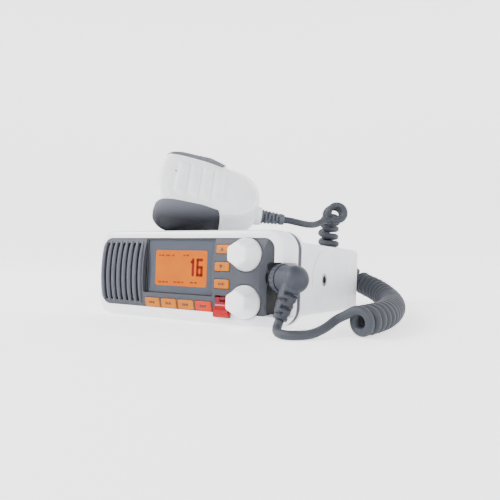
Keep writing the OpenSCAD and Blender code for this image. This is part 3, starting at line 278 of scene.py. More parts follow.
def tube(line, radius, sides):
    """Round skin carried along a line: p + r (cos a x + sin a y), x and y square to the line, with round ends."""
    ways = ways_along(line)
    x = ways_across(ways)
    y = np.cross(ways, x)
    a = np.linspace(0, 2 * np.pi, sides, endpoint=False)[None, :, None]
    r = np.broadcast_to(radius, len(line))[:, None, None]
    skin = line[:, None] + r * (np.cos(a) * x[:, None] + np.sin(a) * y[:, None])
    points = np.vstack([skin.reshape(-1, 3), line[0], line[-1]])
    rows, j = len(line), np.arange(sides)
    start, end, k = rows * sides, rows * sides + 1, (j + 1) % sides
    ends = np.vstack([np.stack([np.full(sides, start), k, j], 1),
                      np.stack([np.full(sides, end), (rows - 1) * sides + j, (rows - 1) * sides + k], 1)])
    return points, [*sheet_faces(rows, sides).tolist(), *ends.tolist()]


def curls(route):
    """Coil: c + R (cos q x + sin q y) along the centre line c, q being the summed turn, which runs slower where
    the line bends, and runs the other way past the swap, as curls do that were wound back on themselves."""
    line = through(route, np.arange(0, (len(route) - 1) * coil_steps + 1) / coil_steps)
    ways = ways_along(line)
    x = ways_across(ways)
    reach = (coil_d - cord_d) / 2
    k = np.clip(np.arange(len(line)), 1, len(line) - 2)
    bend = np.linalg.norm(ways[k + 1] - ways[k - 1], axis=1) / np.linalg.norm(line[k + 1] - line[k - 1], axis=1)
    rate = 2 * np.pi * (1 - reach * bend) / (cord_d * 1.02 + curl_gap)
    gaps = np.linalg.norm(np.diff(line, axis=0), axis=1)
    run = np.concatenate([[0], np.cumsum(gaps)])
    wind = np.clip((coil_swap - run) / coil_swap_width, -1, 1)
    phase = np.concatenate([[0], np.cumsum((rate[1:] * wind[1:] + rate[:-1] * wind[:-1]) / 2 * gaps)])
    walk = np.concatenate([[0], np.cumsum(rate[1:] * np.maximum(0.6, np.abs(wind[1:])) * gaps)])
    count = int(walk[-1] / (2 * np.pi) * 8)
    at = np.linspace(0, walk[-1], count * 3 + 1)
    follow = lambda v: np.stack([np.interp(at, walk, v[:, n]) for n in range(3)], 1)
    c, t, x = follow(line), unit(follow(ways)), unit(follow(x))
    q = (np.interp(at, walk, phase) + coil_start)[:, None]
    turns = c + reach * (np.cos(q) * x + np.sin(q) * np.cross(t, x))
    leave = lambda a, b, c: unit(3 * a - 4 * b + c) * cord_d * 1.1
    return np.vstack([turns[0] + leave(turns[0], turns[3], turns[6]), turns, turns[-1] + leave(turns[-1], turns[-4], turns[-7])])


def evenly(line, step):
    """The line again, with points about a step apart."""
    run = np.concatenate([[0], np.cumsum(np.linalg.norm(np.diff(line, axis=0), axis=1))])
    at = np.linspace(0, run[-1], int(run[-1] / step) + 1)
    return np.stack([np.interp(at, run, line[:, n]) for n in range(3)], 1)


cord_rubber = moulded("cord_rubber", rgb(53, 56, 63), 0.55, grain=0.0003, depth=0.00003, Specular_IOR_Level=0.25)
wound = curls(coil_mm)
plain = through(to_plug_mm, np.linspace(0, len(to_plug_mm) - 1, 65))
cord_line = np.vstack([wound[::-1], plain[::-1]])
cord_line = evenly(cord_line, 0.0014)
coiled_cord = made("coiled_cord", *tube(cord_line, cord_d / 2, 14))
coiled_cord.data.materials.append(cord_rubber)
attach(coiled_cord, "set")
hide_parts("cord_coil", "cord_to_plug")

hand_line = through(to_hand_mm, np.linspace(0, len(to_hand_mm) - 1, 61))
hand_cord = made("hand_cord", *tube(hand_line, cord_d / 2, 18))
hand_cord.data.materials.append(cord_rubber)
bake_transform(hand_cord)
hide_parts("cord_to_mic")

# ---- The housing ----
# A folded and painted metal case, white with a faint orange-peel skin, open at the back for the heat
# sink. A round pressed boss on each side takes the bracket's knob in a threaded steel insert.


def dress(node, material):
    """Gives a CAD node this material on all its slots."""
    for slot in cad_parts[node].material_slots:
        slot.material = material


paint_white = moulded("paint_white", rgb(222, 223, 228), 0.42, grain=0.0009, depth=0.000012)
dress("rear_housing", paint_white)


def metal(name, colour, rough, scratch=0.0006, depth=0.00001):
    """Bare or plated metal: fine scratches and a faint change in shine."""
    material = finish(name, colour, rough, metal=1.0)
    place = place_of(material)
    fine, broad = speckle(place, scratch, 4), speckle(place, 0.006)
    dim = tuple(0.85 * c for c in colour[:3]) + (1,)
    drive(material, base=broad.tint(dim, colour), rough=fine * 0.16 + (rough - 0.08), height=(fine, depth))
    return material


insert_steel = metal("insert_steel", rgb(150, 150, 146), 0.35)
dress("bracket_insert_left", insert_steel)
dress("bracket_insert_right", insert_steel)

# ---- The back of the set ----
# A cast heat sink with its fins, a coaxial socket for the aerial, a rubber cable outlet and a
# loudspeaker socket, all held by four screws.
cast_grey = moulded("cast_grey", rgb(196, 198, 202), 0.5, grain=0.0007, depth=0.00006)
dress("heat_sink", cast_grey)
dress("case_screws", metal("screw_steel", rgb(176, 178, 182), 0.3))
dress("antenna_socket", metal("socket_nickel", rgb(186, 184, 172), 0.28))
dress("antenna_contact", metal("contact_brass", rgb(206, 176, 110), 0.3))
outlet_black = moulded("outlet_black", rgb(38, 38, 41), 0.6)
dress("power_gland", outlet_black)
dress("speaker_jack", outlet_black)

# ---- Inside ----
# Plain stand-ins for the works: two boards, a tin shield, the loudspeaker, the switches and controls.
board_green = moulded("board_green", rgb(40, 96, 58), 0.45, grain=0.0012)
for node in ("main_board", "front_board", "mic_board"):
    dress(node, board_green)
dress("rf_shield", metal("shield_tin", rgb(190, 192, 196), 0.3))
works_steel = metal("works_steel", rgb(150, 152, 156), 0.35)
for node in ("volume_pot", "squelch_pot", "volume_shaft", "squelch_shaft", "speaker_magnet", "mic_capsule", "cover_pin"):
    dress(node, works_steel)
works_black = moulded("works_black", rgb(34, 34, 37), 0.6)
for node in ("key_switches", "speaker_frame", "mic_socket"):
    dress(node, works_black)
dress("speaker_cone", moulded("cone_paper", rgb(48, 48, 50), 0.85, grain=0.0008, depth=0.0001))
mesh_black = finish("mesh_black", rgb(26, 26, 29), 0.5, metal=0.6)
weave = place_of(mesh_black)
across, up = (weave.node("ShaderNodeSeparateXYZ", {}, {0: weave}, out=n).maths("PINGPONG", weave.node(
    "ShaderNodeSeparateXYZ", {}, {0: weave}, out=n), 0.0006) * 1600 for n in (0, 2))
drive(mesh_black, base=(across * up).tint(rgb(10, 10, 11), rgb(70, 72, 78)), height=(across * up, 0.0002))
dress("speaker_mesh", mesh_black)

# ---- The bezel and its gasket ----
# A white ABS moulding that wraps the grey panel, its ends swept back, and a soft grey gasket
# that seals it to the housing's flange.
dress("front_bezel", moulded("bezel_white", rgb(224, 225, 230), 0.34, grain=0.0006, depth=0.00001))
dress("bezel_gasket", moulded("gasket_grey", rgb(74, 71, 83), 0.75, grain=0.0005, depth=0.00004, Specular_IOR_Level=0.2))

# ---- The panel ----
# A bulged moulding in mid grey with a fine matt grain. It carries everything on the front.
panel_grey = moulded("panel_grey", rgb(60, 62, 69), 0.5, grain=0.0005, depth=0.00003, Specular_IOR_Level=0.25)
panel_place = place_of(panel_grey)
panel_x, panel_z = (panel_place.node("ShaderNodeSeparateXYZ", {}, {0: panel_place}, out=n) for n in (0, 2))
# The hinge lug inside the distress cover's opening is painted the dark red of the cover's painted shade.
lug = (1 - abs(panel_x - 0.0337).between(0.0019, 0.0020)) * (1 - abs(panel_z - 0.0166).between(0.0019, 0.0020))
grey_tone = speckle(panel_place, 0.012, 3).between(0.35, 0.75).tint(rgb(57, 59, 66), rgb(60, 62, 69))
drive(panel_grey, base=lug.tint(grey_tone, rgb(92, 2, 16)))
dress("front_panel", panel_grey)

rest_tilt = np.radians(3.33802)
panel_mid, panel_edge, panel_crown, panel_bow = 30.0, 0.5, 3.3, 83.9


def standing(level):
    """From millimetres on the level set to metres on the table: (x, y cos t + z sin t, z cos t - y sin t), y being
    counted from the housing's front, because the set is tipped back onto the housing's rear edge."""
    x, y, z = np.moveaxis(np.asarray(level, float), -1, 0)
    y = y - 18.7
    back, high = y * np.cos(rest_tilt) + z * np.sin(rest_tilt) - 43.1213, z * np.cos(rest_tilt) - y * np.sin(rest_tilt)
    return np.stack([x, back, high], axis=-1) / 1000


def face_of_panel(z):
    """Depth of the panel's face: a circle's arc, e - c + R - sqrt(R^2 - (z - m)^2)."""
    return panel_edge - panel_crown + panel_bow - np.sqrt(panel_bow**2 - (z - panel_mid) ** 2)


def closed_skin(grid):
    """Points and faces of rows that go round, with a middle point to close the first row and the last."""
    rows, columns = grid.shape[:2]
    points = np.vstack([grid.reshape(-1, 3), grid[0].mean(0), grid[-1].mean(0)])
    j = np.arange(columns)
    k, first, last = (j + 1) % columns, np.full(columns, rows * columns), np.full(columns, rows * columns + 1)
    ends = np.vstack([np.stack([first, k, j], 1), np.stack([last, (rows - 1) * columns + j, (rows - 1) * columns + k], 1)])
    return points, [*sheet_faces(rows, columns).tolist(), *ends.tolist()]


def outward(thing):
    """Turns a closed mesh's faces outwards where its signed volume says that they point in."""
    mesh = thing.data
    mesh.calc_loop_triangles()
    co = np.empty(len(mesh.vertices) * 3)
    mesh.vertices.foreach_get("co", co)
    t = np.empty(len(mesh.loop_triangles) * 3, int)
    mesh.loop_triangles.foreach_get("vertices", t)
    a, b, c = co.reshape(-1, 3)[t.reshape(-1, 3)].transpose(1, 0, 2)
    if (a * np.cross(b, c)).sum() < 0:
        mesh.flip_normals()
    return thing


def settle(thing, material, body, slot, *nodes):
    """Finishes a piece: faces outwards, its material, the body that it rides on, and what it replaces. Its slot is not
    used.
    """
    outward(thing)
    thing.data.materials.append(material)
    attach(thing, body)
    if nodes:
        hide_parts(*nodes)
    return thing


# ---- The loudspeaker's grille ----
# Between the panel's slots stand rounded bars that follow its bulge and run out at their ends.
bar_pitch, bar_low, bar_high, first_bar = 4.9, 8.6, 51.4, -67.95


def grille_bar(x, width):
    """Half-round bar: width w and rise h both swell as a rounded box (1 - |s|^6) along it; across it (w/2 cos a, h sin a)."""
    s = np.linspace(-1, 1, 61)[:, None]
    a = np.linspace(0, 2 * np.pi, 28, endpoint=False)[None]
    swell = np.sqrt(np.clip(1 - np.abs(s) ** 6, 0.0004, 1))
    z = (bar_low + bar_high) / 2 + s * (bar_high - bar_low) / 2
    y = face_of_panel(z) - np.where(np.sin(a) > 0, 1.15, 0.9) * swell * np.abs(np.sin(a)) ** 0.8 * np.sign(np.sin(a))
    return standing(np.stack([x + width / 2 * swell * np.cos(a), y, z + 0 * a], axis=2))


bar_points, bar_faces = [], []
for n in range(8):
    points, faces = closed_skin(grille_bar(first_bar + n * bar_pitch, 3.3 if 0 < n < 7 else 2.6))
    bar_faces += [[v + sum(map(len, bar_points)) for v in face] for face in faces]
    bar_points.append(points)
grille_bars = made("grille_bars", np.vstack(bar_points), bar_faces)
settle(grille_bars, moulded("grille_grey", rgb(68, 70, 79), 0.45, grain=0.0004, depth=0.00002, Specular_IOR_Level=0.25), "set", "panel_grey")

# ---- The display ----
# A smoked blue-grey window, with black strips round its edges as painted shadow of its recess (wider along the top and
# left), and a liquid-crystal glass lit orange from behind.
# It shows the calling channel as a plain number, and faint small segments.
lens_blue = finish("lens_blue", rgb(56, 61, 71), 0.12, Specular_IOR_Level=0.25)
drive(lens_blue, rough=speckle(place_of(lens_blue), 0.004) * 0.1 + 0.08)
dress("display_lens", lens_blue)
dress("lcd_backlight", moulded("diffuser_white", rgb(230, 226, 210), 0.5))
dress("lcd_glass", finish("glass_back", rgb(255, 150, 40), 0.3))
lit_x, lit_z, lit_w, lit_h, lit_y = -1.9, 33.4, 42.4, 23.6, 1.45


def plate(x0, z0, x1, z1, y, radius, thick=0.12, arc=7):
    """Thin plate with round corners: corner centre + r (cos a, sin a), as a front ring drawn in, a rim and a back ring."""
    a = np.radians(np.concatenate([np.linspace(q, q + 90, arc) for q in (0, 90, 180, 270)]))
    centre = np.repeat([[x1 - radius, z1 - radius], [x0 + radius, z1 - radius],
                        [x0 + radius, z0 + radius], [x1 - radius, z0 + radius]], arc, axis=0)
    rings = [(max(radius - 0.3 * thick, 0), y), (radius, y + 0.3 * thick), (radius, y + thick)]
    flat = [np.stack([centre[:, 0] + r * np.cos(a), np.full(len(a), d), centre[:, 1] + r * np.sin(a)], 1) for r, d in rings]
    return standing(np.stack(flat))


def joined(name, skins):
    """One mesh of several closed skins."""
    points, faces, start = [], [], 0
    for skin in skins:
        p, f = closed_skin(skin)
        points.append(p)
        faces += [[v + start for v in face] for face in f]
        start += len(p)
    return made(name, np.vstack(points), faces, smooth=False)


glow = finish("display_glow", rgb(139, 63, 0), 0.35, Emission_Strength=0.9, Specular_IOR_Level=0.1)
uneven = speckle(place_of(glow), 0.02)
glow_colour = uneven.between(0.3, 0.8).tint(rgb(146, 70, 0), rgb(154, 78, 0))
drive(glow, base=glow_colour, glow=glow_colour)
lit_screen = joined("lit_screen", [plate(lit_x - lit_w / 2, lit_z - lit_h / 2, lit_x + lit_w / 2, lit_z + lit_h / 2, lit_y - 0.35, 1.2, 0.4)])
settle(lit_screen, glow, "set", "display_amber")


def stroke(x, z, points, width):
    """A bar of a digit between two corners, in units of millimetres from (x, z)."""
    (a, b), (c, d) = points
    return plate(x + min(a, c) - width / 2, z + min(b, d) - width / 2, x + max(a, c) + width / 2,
                 z + max(b, d) + width / 2, lit_y - 0.42, width * 0.35, 0.1)


one = [((0, 0), (0, 9.8)), ((-1.1, 8.4), (0, 8.4))]
six = [((0, 0), (0, 9.8)), ((0, 0), (3.3, 0)), ((3.3, 0), (3.3, 5)), ((0, 5), (3.3, 5)), ((0, 9.8), (3.3, 9.8))]
strokes = [stroke(8.3, 29.4, s, 1.9) for s in one] + [stroke(11.9, 29.4, s, 1.9) for s in six]
channel = joined("channel_digits", strokes)
dark_orange = finish("segment_dark", rgb(104, 12, 0), 0.5, Specular_IOR_Level=0.1)
drive(dark_orange, base=speckle(place_of(dark_orange), 0.002).tint(rgb(98, 8, 0), rgb(110, 16, 0)))
settle(channel, dark_orange, "set", "display_amber")
small = [plate(x, z, x + w, z + 1.1, lit_y - 0.4, 0.2, 0.08) for x, z, w in [
    (-20.5, 41.2, 1.6), (-18.2, 41.2, 2.4), (-14.4, 41.2, 3.4), (-9.2, 41.2, 2.0), (0.2, 41.4, 1.6), (2.6, 41.4, 2.2),
    (-20.3, 23.4, 2.6), (-17.0, 23.4, 2.6), (-13.8, 23.4, 1.8), (-7.2, 23.6, 2.0), (-4.4, 23.6, 3.0), (-0.6, 23.6, 1.6),
    (6.4, 23.8, 2.4), (9.6, 23.8, 2.2)]]
faint_orange = finish("segment_faint", rgb(122, 40, 0), 0.5, Specular_IOR_Level=0.1)
drive(faint_orange, base=speckle(place_of(faint_orange), 0.002).tint(rgb(118, 36, 0), rgb(128, 46, 0)))
settle(joined("small_segments", small), faint_orange, "set", "display_amber")

# Painted shadow: thin black strips stand in for the shade of the window's recess, wider along its top and left edges.
shadow_black = moulded("shadow_black", rgb(18, 19, 22), 0.5)
shadow_strips = [plate(-30.7, 16.7, -29.5, 53.2, 0.35, 0.3, 0.8), plate(-30.7, 52.0, 26.0, 53.25, 0.35, 0.3, 0.8),
        plate(-30.7, 16.7, 26.0, 17.2, 0.8, 0.2, 0.4), plate(25.5, 16.7, 26.0, 53.2, 0.8, 0.2, 0.4)]
settle(joined("window_shadow", shadow_strips), shadow_black, "set", "black_plastic")

# ---- The keys ----
# Amber caps of moulded silicone, lit from behind, that follow the panel's bulge. The two upper ones
# of the column carry an arrow each, and the others short plain bars.


def lit_plastic(name, colour, edge):
    """Glowing translucent cap: the colour deepens towards the edges of soft spots, with a little light of its own."""
    material = finish(name, colour, 0.4, Emission_Strength=0.5, Specular_IOR_Level=0.2)
    place = place_of(material)
    cloud = speckle(place, 0.005)
    tone = cloud.between(0.25, 0.8).tint(edge, colour)
    drive(material, base=tone, glow=tone, height=(speckle(place, 0.0004), 0.00002))
    return material


key_amber = lit_plastic("key_amber", rgb(160, 92, 0), rgb(150, 78, 0))
key_orange = lit_plastic("key_orange", rgb(168, 40, 4), rgb(156, 28, 2))
row_x, row_z, row_size = (-22.9, -8.9, 5.1, 19.1), 10.0, (12.4, 6.2)
column_x, column_z, column_size = 33.5, (46.3, 35.4, 24.7), (10.6, 5.6)


def key_cap(x, z, width, height, rise=0.9, soft=0.9):
    """Cap whose outline is a rounded box and whose face stands rise ahead of the panel's, rounded over at its edges."""
    arc = 8
    a = np.radians(np.concatenate([np.linspace(q, q + 90, arc) for q in (0, 90, 180, 270)]))
    corner = np.repeat([[1, 1], [-1, 1], [-1, -1], [1, -1]], arc, axis=0)
    rows = []
    for turn in np.linspace(0, np.pi / 2, 6):
        rows.append((soft * (1 - np.sin(turn)), soft * 0.6 * (1 - np.cos(turn))))
    rows = [(i, d) for i, d in rows] + [(0, 5.0)]
    ring = []
    for inset, depth in rows:
        r = 0.9
        px = x + corner[:, 0] * (width / 2 - inset - r) + r * np.cos(a)
        pz = z + corner[:, 1] * (height / 2 - inset - r) + r * np.sin(a)
        y = np.where(depth > 4, 3.6, face_of_panel(pz) - rise + depth)
        ring.append(np.stack([px, y, pz], 1))
    inner = ring[0]
    middle = inner.mean(0)
    crown = [middle + (inner - middle) * k for k in (0.25, 0.5, 0.75)]
    crown = [np.stack([c[:, 0], face_of_panel(c[:, 2]) - rise, c[:, 2]], 1) for c in crown]
    return standing(np.stack(crown + ring))


def key(name, x, z, size, material, slot):
    """Adds one key cap that stands for the key of that name."""
    thing = made(name + "_cap", *closed_skin(key_cap(x, z, *size)))
    return settle(thing, material, name, slot, name)


for n in range(4):
    key(f"row_key_{n + 1}", row_x[n], row_z, row_size, key_orange if n == 3 else key_amber, "key_orange" if n == 3 else "key_amber")
for name, z in zip(("up_key", "down_key", "scan_key"), column_z):
    key(name, column_x, z, column_size, key_amber, "key_amber")


def mark(outline, y_ahead):
    """Thin raised print: a closed outline in x and z, laid on the keys' faces and carried y_ahead of them."""
    x, z = np.asarray(outline, float).T
    front = np.stack([x, face_of_panel(z) - 0.9 - y_ahead, z], 1)
    back = front + (0, 0.3, 0)
    return standing(np.stack([front, back]))


def bar_outline(x, z, width, height):
    return [(x - width / 2, z - height / 2), (x + width / 2, z - height / 2), (x + width / 2, z + height / 2), (x - width / 2, z + height / 2)]


print_brown = finish("print_brown", rgb(40, 14, 2), 0.6)
drive(print_brown, base=speckle(place_of(print_brown), 0.001).tint(rgb(34, 10, 2), rgb(46, 18, 4)))
for n in range(4):
    marks = [mark(bar_outline(row_x[n] + d, row_z, w, 1.5), 0.03) for d, w in [(-1.9, 1.1), (-0.4, 1.1), (1.4, 1.5)]]
    settle(joined(f"row_print_{n + 1}", marks), print_brown, f"row_key_{n + 1}", "black_plastic")
up_arrow = [(column_x - 1.0 + a, column_z[0] + b) for a, b in [(-1.3, -1.1), (1.3, -1.1), (0, 1.3)]]
down_arrow = [(column_x - 0.6 + a, column_z[1] + b) for a, b in [(-1.3, 1.1), (0, -1.3), (1.3, 1.1)]]
settle(joined("up_arrow", [mark(up_arrow, 0.03)]), print_brown, "up_key", "black_plastic")
settle(joined("down_arrow", [mark(down_arrow, 0.03)]), print_brown, "down_key", "black_plastic")
marks = [mark(bar_outline(column_x + d, column_z[2], w, 1.4), 0.03) for d, w in [(-1.5, 1.2), (0.1, 1.0), (1.5, 1.1)]]
settle(joined("scan_print", marks), print_brown, "scan_key", "black_plastic")

# ---- The distress key and its cover ----
# A dark red key under a hinged cover of tinted red plastic, with a lip to lift it by. The cover's upper part is painted
# darker as painted shade, and its lip brighter as a painted highlight.
cover_red = finish("cover_red", rgb(106, 4, 20), 0.35, Specular_IOR_Level=0.25)
cover_place = place_of(cover_red)
high = cover_place.node("ShaderNodeSeparateXYZ", {}, {0: cover_place}, out=2)
# Painted light: below the lip's top edge the cover is painted bright red as a highlight, and above it dark red as
# shade.
lit_lip = high.between(0.01225, 0.01205)
line = 1 - (abs(high - 0.0127)).between(0.0002, 0.0006)
tone = speckle(cover_place, 0.004)
shaded_upper = tone.tint(rgb(98, 2, 18), rgb(112, 6, 24))
drive(cover_red, base=line.tint(lit_lip.tint(shaded_upper, rgb(140, 0, 6)), rgb(190, 90, 100)), height=(speckle(cover_place, 0.0005), 0.00001))
dress("distress_cover", cover_red)
dress("distress_key", moulded("distress_red", rgb(106, 4, 10), 0.4))

# ---- The two knobs ----
# White satin knobs on steel shafts, round at the panel and cut to six flats at their face.
knob_white = moulded("knob_white", rgb(228, 229, 233), 0.4, grain=0.0006, depth=0.00001, Coat_Weight=0.15)
knob_x, knob_zs, knob_back, knob_l, knob_r = 50.1, (43.1, 14.5), -0.1, 13.7, 10.2
flat_reach = 6.75


def knob_skin(z):
    """From a circle of radius R at the foot to a six-sided face: R + w (H(a) - R), H(a) = f (sum |cos(a - k)|^p)^(-1/p)
    over the six sides, w rising from the skirt to the face, whose edge is rounded over by a quarter turn."""
    a = np.linspace(0, 2 * np.pi, 192, endpoint=False)
    sides = np.radians(60 * np.arange(6))
    six = flat_reach * (np.clip(np.cos(a[:, None] - sides), 0, 1) ** 22).sum(1) ** (-1 / 22)
    rows = [(0, 0, knob_r - 0.1), (0.15, 0, knob_r)]
    along = [(d, 0.0, 0.0) for d in (0.5, 1.5, 2.6)]
    along += [(3.0 + 9.4 * w, w, 0.0) for w in np.linspace(0.03, 1, 24)]
    turn = np.linspace(0.15, np.pi / 2, 8)
    along += [(12.4 + 1.25 * np.sin(q), 1.0 + 0.12 * np.sin(q), 1.25 * (1 - np.cos(q))) for q in turn]
    grid = []
    for depth, w, inset in along:
        r = knob_r + w * (six - knob_r) - inset
        grid.append(np.stack([knob_x + r * np.cos(a), np.full(len(a), knob_back - depth), z + r * np.sin(a)], 1))
    face = grid[-1]
    middle = face.mean(0)
    grid += [middle + (face - middle) * k + np.array([0, -0.25 * (1 - k * k), 0]) for k in (0.8, 0.55, 0.3, 0.1)]
    return standing(np.stack(grid))


for name, z in zip(("volume", "squelch"), knob_zs):
    knob = made(name + "_knob_cap", *closed_skin(knob_skin(z)))
    settle(knob, knob_white, name + "_control", "knob_white", name + "_knob")

# ---- The microphone's plug ----
# A right-angle plug in grey rubber-skinned plastic: a knurled ring that screws on, a domed barrel,
# and a slotted sleeve that lets the cord bend.
plug_turn = np.radians(24)
socket = np.array([64 + 4.2 * np.tan(plug_turn), 4.2, 29.5])
plug_axis = np.array([np.cos(plug_turn), -np.sin(plug_turn), 0])
plug_side = np.array([np.sin(plug_turn), np.cos(plug_turn), 0])
plug_up = np.array([0.0, 0, 1])


def lathe(profile, origin, axis, side, sides=96, shape=None):
    """Turned skin: origin + d axis + r (cos a side + sin a (axis x side)) for each (d, r) of the profile. A shape gives
    what is added to r at each place of the grid, for knurls, slots and ribs."""
    d, r = (np.asarray(profile, float).T)[:, :, None]
    a = np.linspace(0, 2 * np.pi, sides, endpoint=False)[None]
    r = r + (0 if shape is None else shape(d, a))
    up = np.cross(axis, side)
    return origin + d[..., None] * axis + r[..., None] * (np.cos(a)[..., None] * side + np.sin(a)[..., None] * up)


def rounded_profile(points, radius, steps=6):
    """The profile again, each inner corner replaced by a quadratic curve that starts and ends radius from it."""
    p = np.asarray(points, float)
    out = [p[0]]
    for a, b, c in zip(p[:-2], p[1:-1], p[2:]):
        reach = min(radius, 0.45 * np.linalg.norm(b - a), 0.45 * np.linalg.norm(c - b))
        s, e = b + (a - b) / np.linalg.norm(a - b) * reach, b + (c - b) / np.linalg.norm(c - b) * reach
        t = np.linspace(0, 1, steps)[:, None]
        out += list((1 - t) ** 2 * s + 2 * t * (1 - t) * b + t**2 * e)
    out.append(p[-1])
    return np.array(out)


def filled(profile, step):
    """The profile with points added, so that none is further than a step from the next."""
    p = np.asarray(profile, float)
    n = np.maximum(1, np.ceil(np.linalg.norm(np.diff(p, axis=0), axis=1) / step).astype(int))
    return np.vstack([*(p[i] + (p[i + 1] - p[i]) * np.arange(k)[:, None] / k for i, k in enumerate(n)), p[-1]])


plug_grey = moulded("plug_grey", rgb(48, 51, 59), 0.5, grain=0.0004, depth=0.00003, Specular_IOR_Level=0.25)
ring_profile = filled(rounded_profile([(6.2, 6.4), (6.2, 8.7), (10.2, 8.7), (10.2, 6.4)], 0.5), 0.35)
ring_skin = lathe(ring_profile, socket, plug_axis, plug_side, 288,
                  lambda d, a: -0.45 * (0.5 + 0.5 * np.cos(18 * a)) ** 3 * np.clip((d - 6.2) * 3, 0, 1) * np.clip((10.2 - d) * 3, 0, 1))
plug_collar = made("plug_collar", *closed_skin(standing(ring_skin)))
settle(plug_collar, plug_grey, "set", "plug_grey", "plug_ring")

barrel_x = 10.3
arc = np.linspace(0, np.pi / 2, 14)[:-1]
barrel_profile = np.vstack([rounded_profile([(barrel_x, 5.5), (barrel_x, 8), (barrel_x + 10, 8)], 0.4),
                            np.stack([barrel_x + 10 + 6.5 * np.sin(arc), 1.4 + 6.6 * np.cos(arc)], 1)])
barrel = lathe(filled(barrel_profile, 0.6), socket, plug_axis, plug_side, 96)
sleeve_axis = -plug_up * np.cos(np.radians(22)) - plug_side * np.sin(np.radians(22))


def slots(first, step, count, height, depth, spread):
    """Rows of slots cut across a sleeve from two sides, every other row a quarter turn round."""
    def cut(d, a):
        k = np.floor((d - first) / step)
        inside = (d - first - k * step < height) & (k >= 0) & (k < count)
        turn = a + (k % 2) * np.pi / 2
        open_side = 1 / (1 + np.exp(-(np.abs(np.cos(turn)) - spread) * 40))
        return -depth * inside * open_side
    return cut


sleeve_profile = filled(rounded_profile([(0, 6.75), (22.9, 4.35), (24.5, 4.1), (24.5, 2.5)], 0.6), 0.22)
sleeve = lathe(sleeve_profile, socket + plug_axis * 18.2, sleeve_axis, plug_axis, 144,
               slots(8.9, 3.9, 4, 1.9, 2.9, 0.5))
boot = made("plug_handle", *(lambda a, b: (np.vstack([a[0], b[0]]), a[1] + [[v + len(a[0]) for v in f] for f in b[1]]))(
    closed_skin(standing(barrel)), closed_skin(standing(sleeve))))
settle(boot, plug_grey, "set", "plug_grey", "plug_boot")

# ---- The hollow behind the plug ----
# A thin black sheet with a round hole for the plug, on the wall that the plug's socket sits in, as painted shade of the
# hollow.


def window_frame(origin, side, up, out, low, high, radius, thick=0.3, sides=96):
    """Flat plate with a round hole: a ring r (cos a, sin a), and out from it a ring on the rectangle's edge, which is
    reached where the larger of its two shares is one. Front and back are joined as a closed band."""
    a = np.linspace(0, 2 * np.pi, sides, endpoint=False)
    c, s = np.cos(a), np.sin(a)
    reach = np.minimum(np.where(c > 0, high[0], -low[0]) / np.maximum(np.abs(c), 1e-6),
                       np.where(s > 0, high[1], -low[1]) / np.maximum(np.abs(s), 1e-6))
    rings = [(radius + 0 * a, 0), (reach, 0), (reach, thick), (radius + 0 * a, thick)]
    return np.stack([origin + (r * c)[:, None] * side + (r * s)[:, None] * up + d * out for r, d in rings])


# Painted shade: this black sheet stands in for the shadow in the hollow round the plug.
hollow_shadow_black = moulded("hollow_shadow_black", rgb(16, 17, 20), 0.6)
hollow_shadow = standing(window_frame(socket + 0.15 * plug_axis, plug_side, plug_up, plug_axis, (-5.0, -21.5), (5.6, 8.6), 6.35))
plug_hollow_shadow = made("plug_hollow_shadow", hollow_shadow, sheet_faces(4, 96, round_rows=True), smooth=False)
settle(plug_hollow_shadow, hollow_shadow_black, "set", "black_plastic")

# ---- The hand microphone's case ----
# Two white shells that meet at a parting line, broad at the head and narrowing to a round foot,
# with four soft ribs across the face. Soft grips are let into both long sides.
hand_at = np.array([-41, -40, 91.8])
roll, drop, heading = np.radians([50, 8, 36])
hand_x = np.array([np.cos(heading) * np.cos(drop), np.sin(heading) * np.cos(drop), -np.sin(drop)])
tip_z = np.array([np.cos(heading) * np.sin(drop), np.sin(heading) * np.sin(drop), np.cos(drop)])
tip_y = np.array([-np.sin(heading), np.cos(heading), 0])
hand_y = tip_y * np.cos(roll) + tip_z * np.sin(roll)
hand_z = -tip_y * np.sin(roll) + tip_z * np.cos(roll)
face_rise, back_rise, face_fall, back_fall = 17.0, 15.0, np.tan(np.radians(8)), np.tan(np.radians(6))
foot = np.linspace(-np.pi / 2, np.pi / 2, 40)
corners = np.vstack([[0, -11.5], [2, -21.5], [7, -28.5], [16, -31.5], [38, -31.5],
                     np.stack([54 + 24 * np.cos(foot), 24 * np.sin(foot)], 1),
                     [38, 31.5], [16, 31.5], [7, 28.5], [2, 21.5], [0, 11.5], [0, -11.5]])


def in_hand(points):
    """From millimetres on the microphone to metres where it lies: origin + x X + y Y + z Z."""
    p = np.asarray(points, float)
    return (hand_at + p[..., :1] * hand_x + p[..., 1:2] * hand_y + p[..., 2:] * hand_z) / 1000


def outline(count=512, soft=2.2):
    """The plan's closed outline: the corners joined and spaced evenly, then each wave of it (x + i y = sum c_k e^(ikt))
    scaled by exp(-(k s)^2 / 2), which rounds the corners."""
    run = np.concatenate([[0], np.cumsum(np.linalg.norm(np.diff(corners, axis=0), axis=1))])
    at = np.arange(count) / count * run[-1]
    z = np.interp(at, run, corners[:, 0]) + 1j * np.interp(at, run, corners[:, 1])
    k = np.fft.fftfreq(count, 1 / count) * 2 * np.pi / run[-1]
    z = np.fft.ifft(np.fft.fft(z) * np.exp(-((k * soft) ** 2) / 2))
    return np.stack([z.real, z.imag], 1)


plan = outline()
plan_way = unit(np.roll(plan, -1, 0) - np.roll(plan, 1, 0))
plan_in = np.stack([-plan_way[:, 1], plan_way[:, 0]], 1)
middle = np.array([36.0, 0.0])


def case_levels(x):
    """Heights of the case's rings over the plan, from the face down to the back."""
    face, back = face_rise - x * face_fall, -back_rise - x * back_fall
    return [face, face - np.minimum(3.0, 0.2 * face), np.minimum(face_rise / 3, 0.8 * face),
            -back_rise / 4 - x * back_fall, back + 4, back]


ring_in = (11.0, 4.5, 0.8, 0.0, 3.0, 9.0)


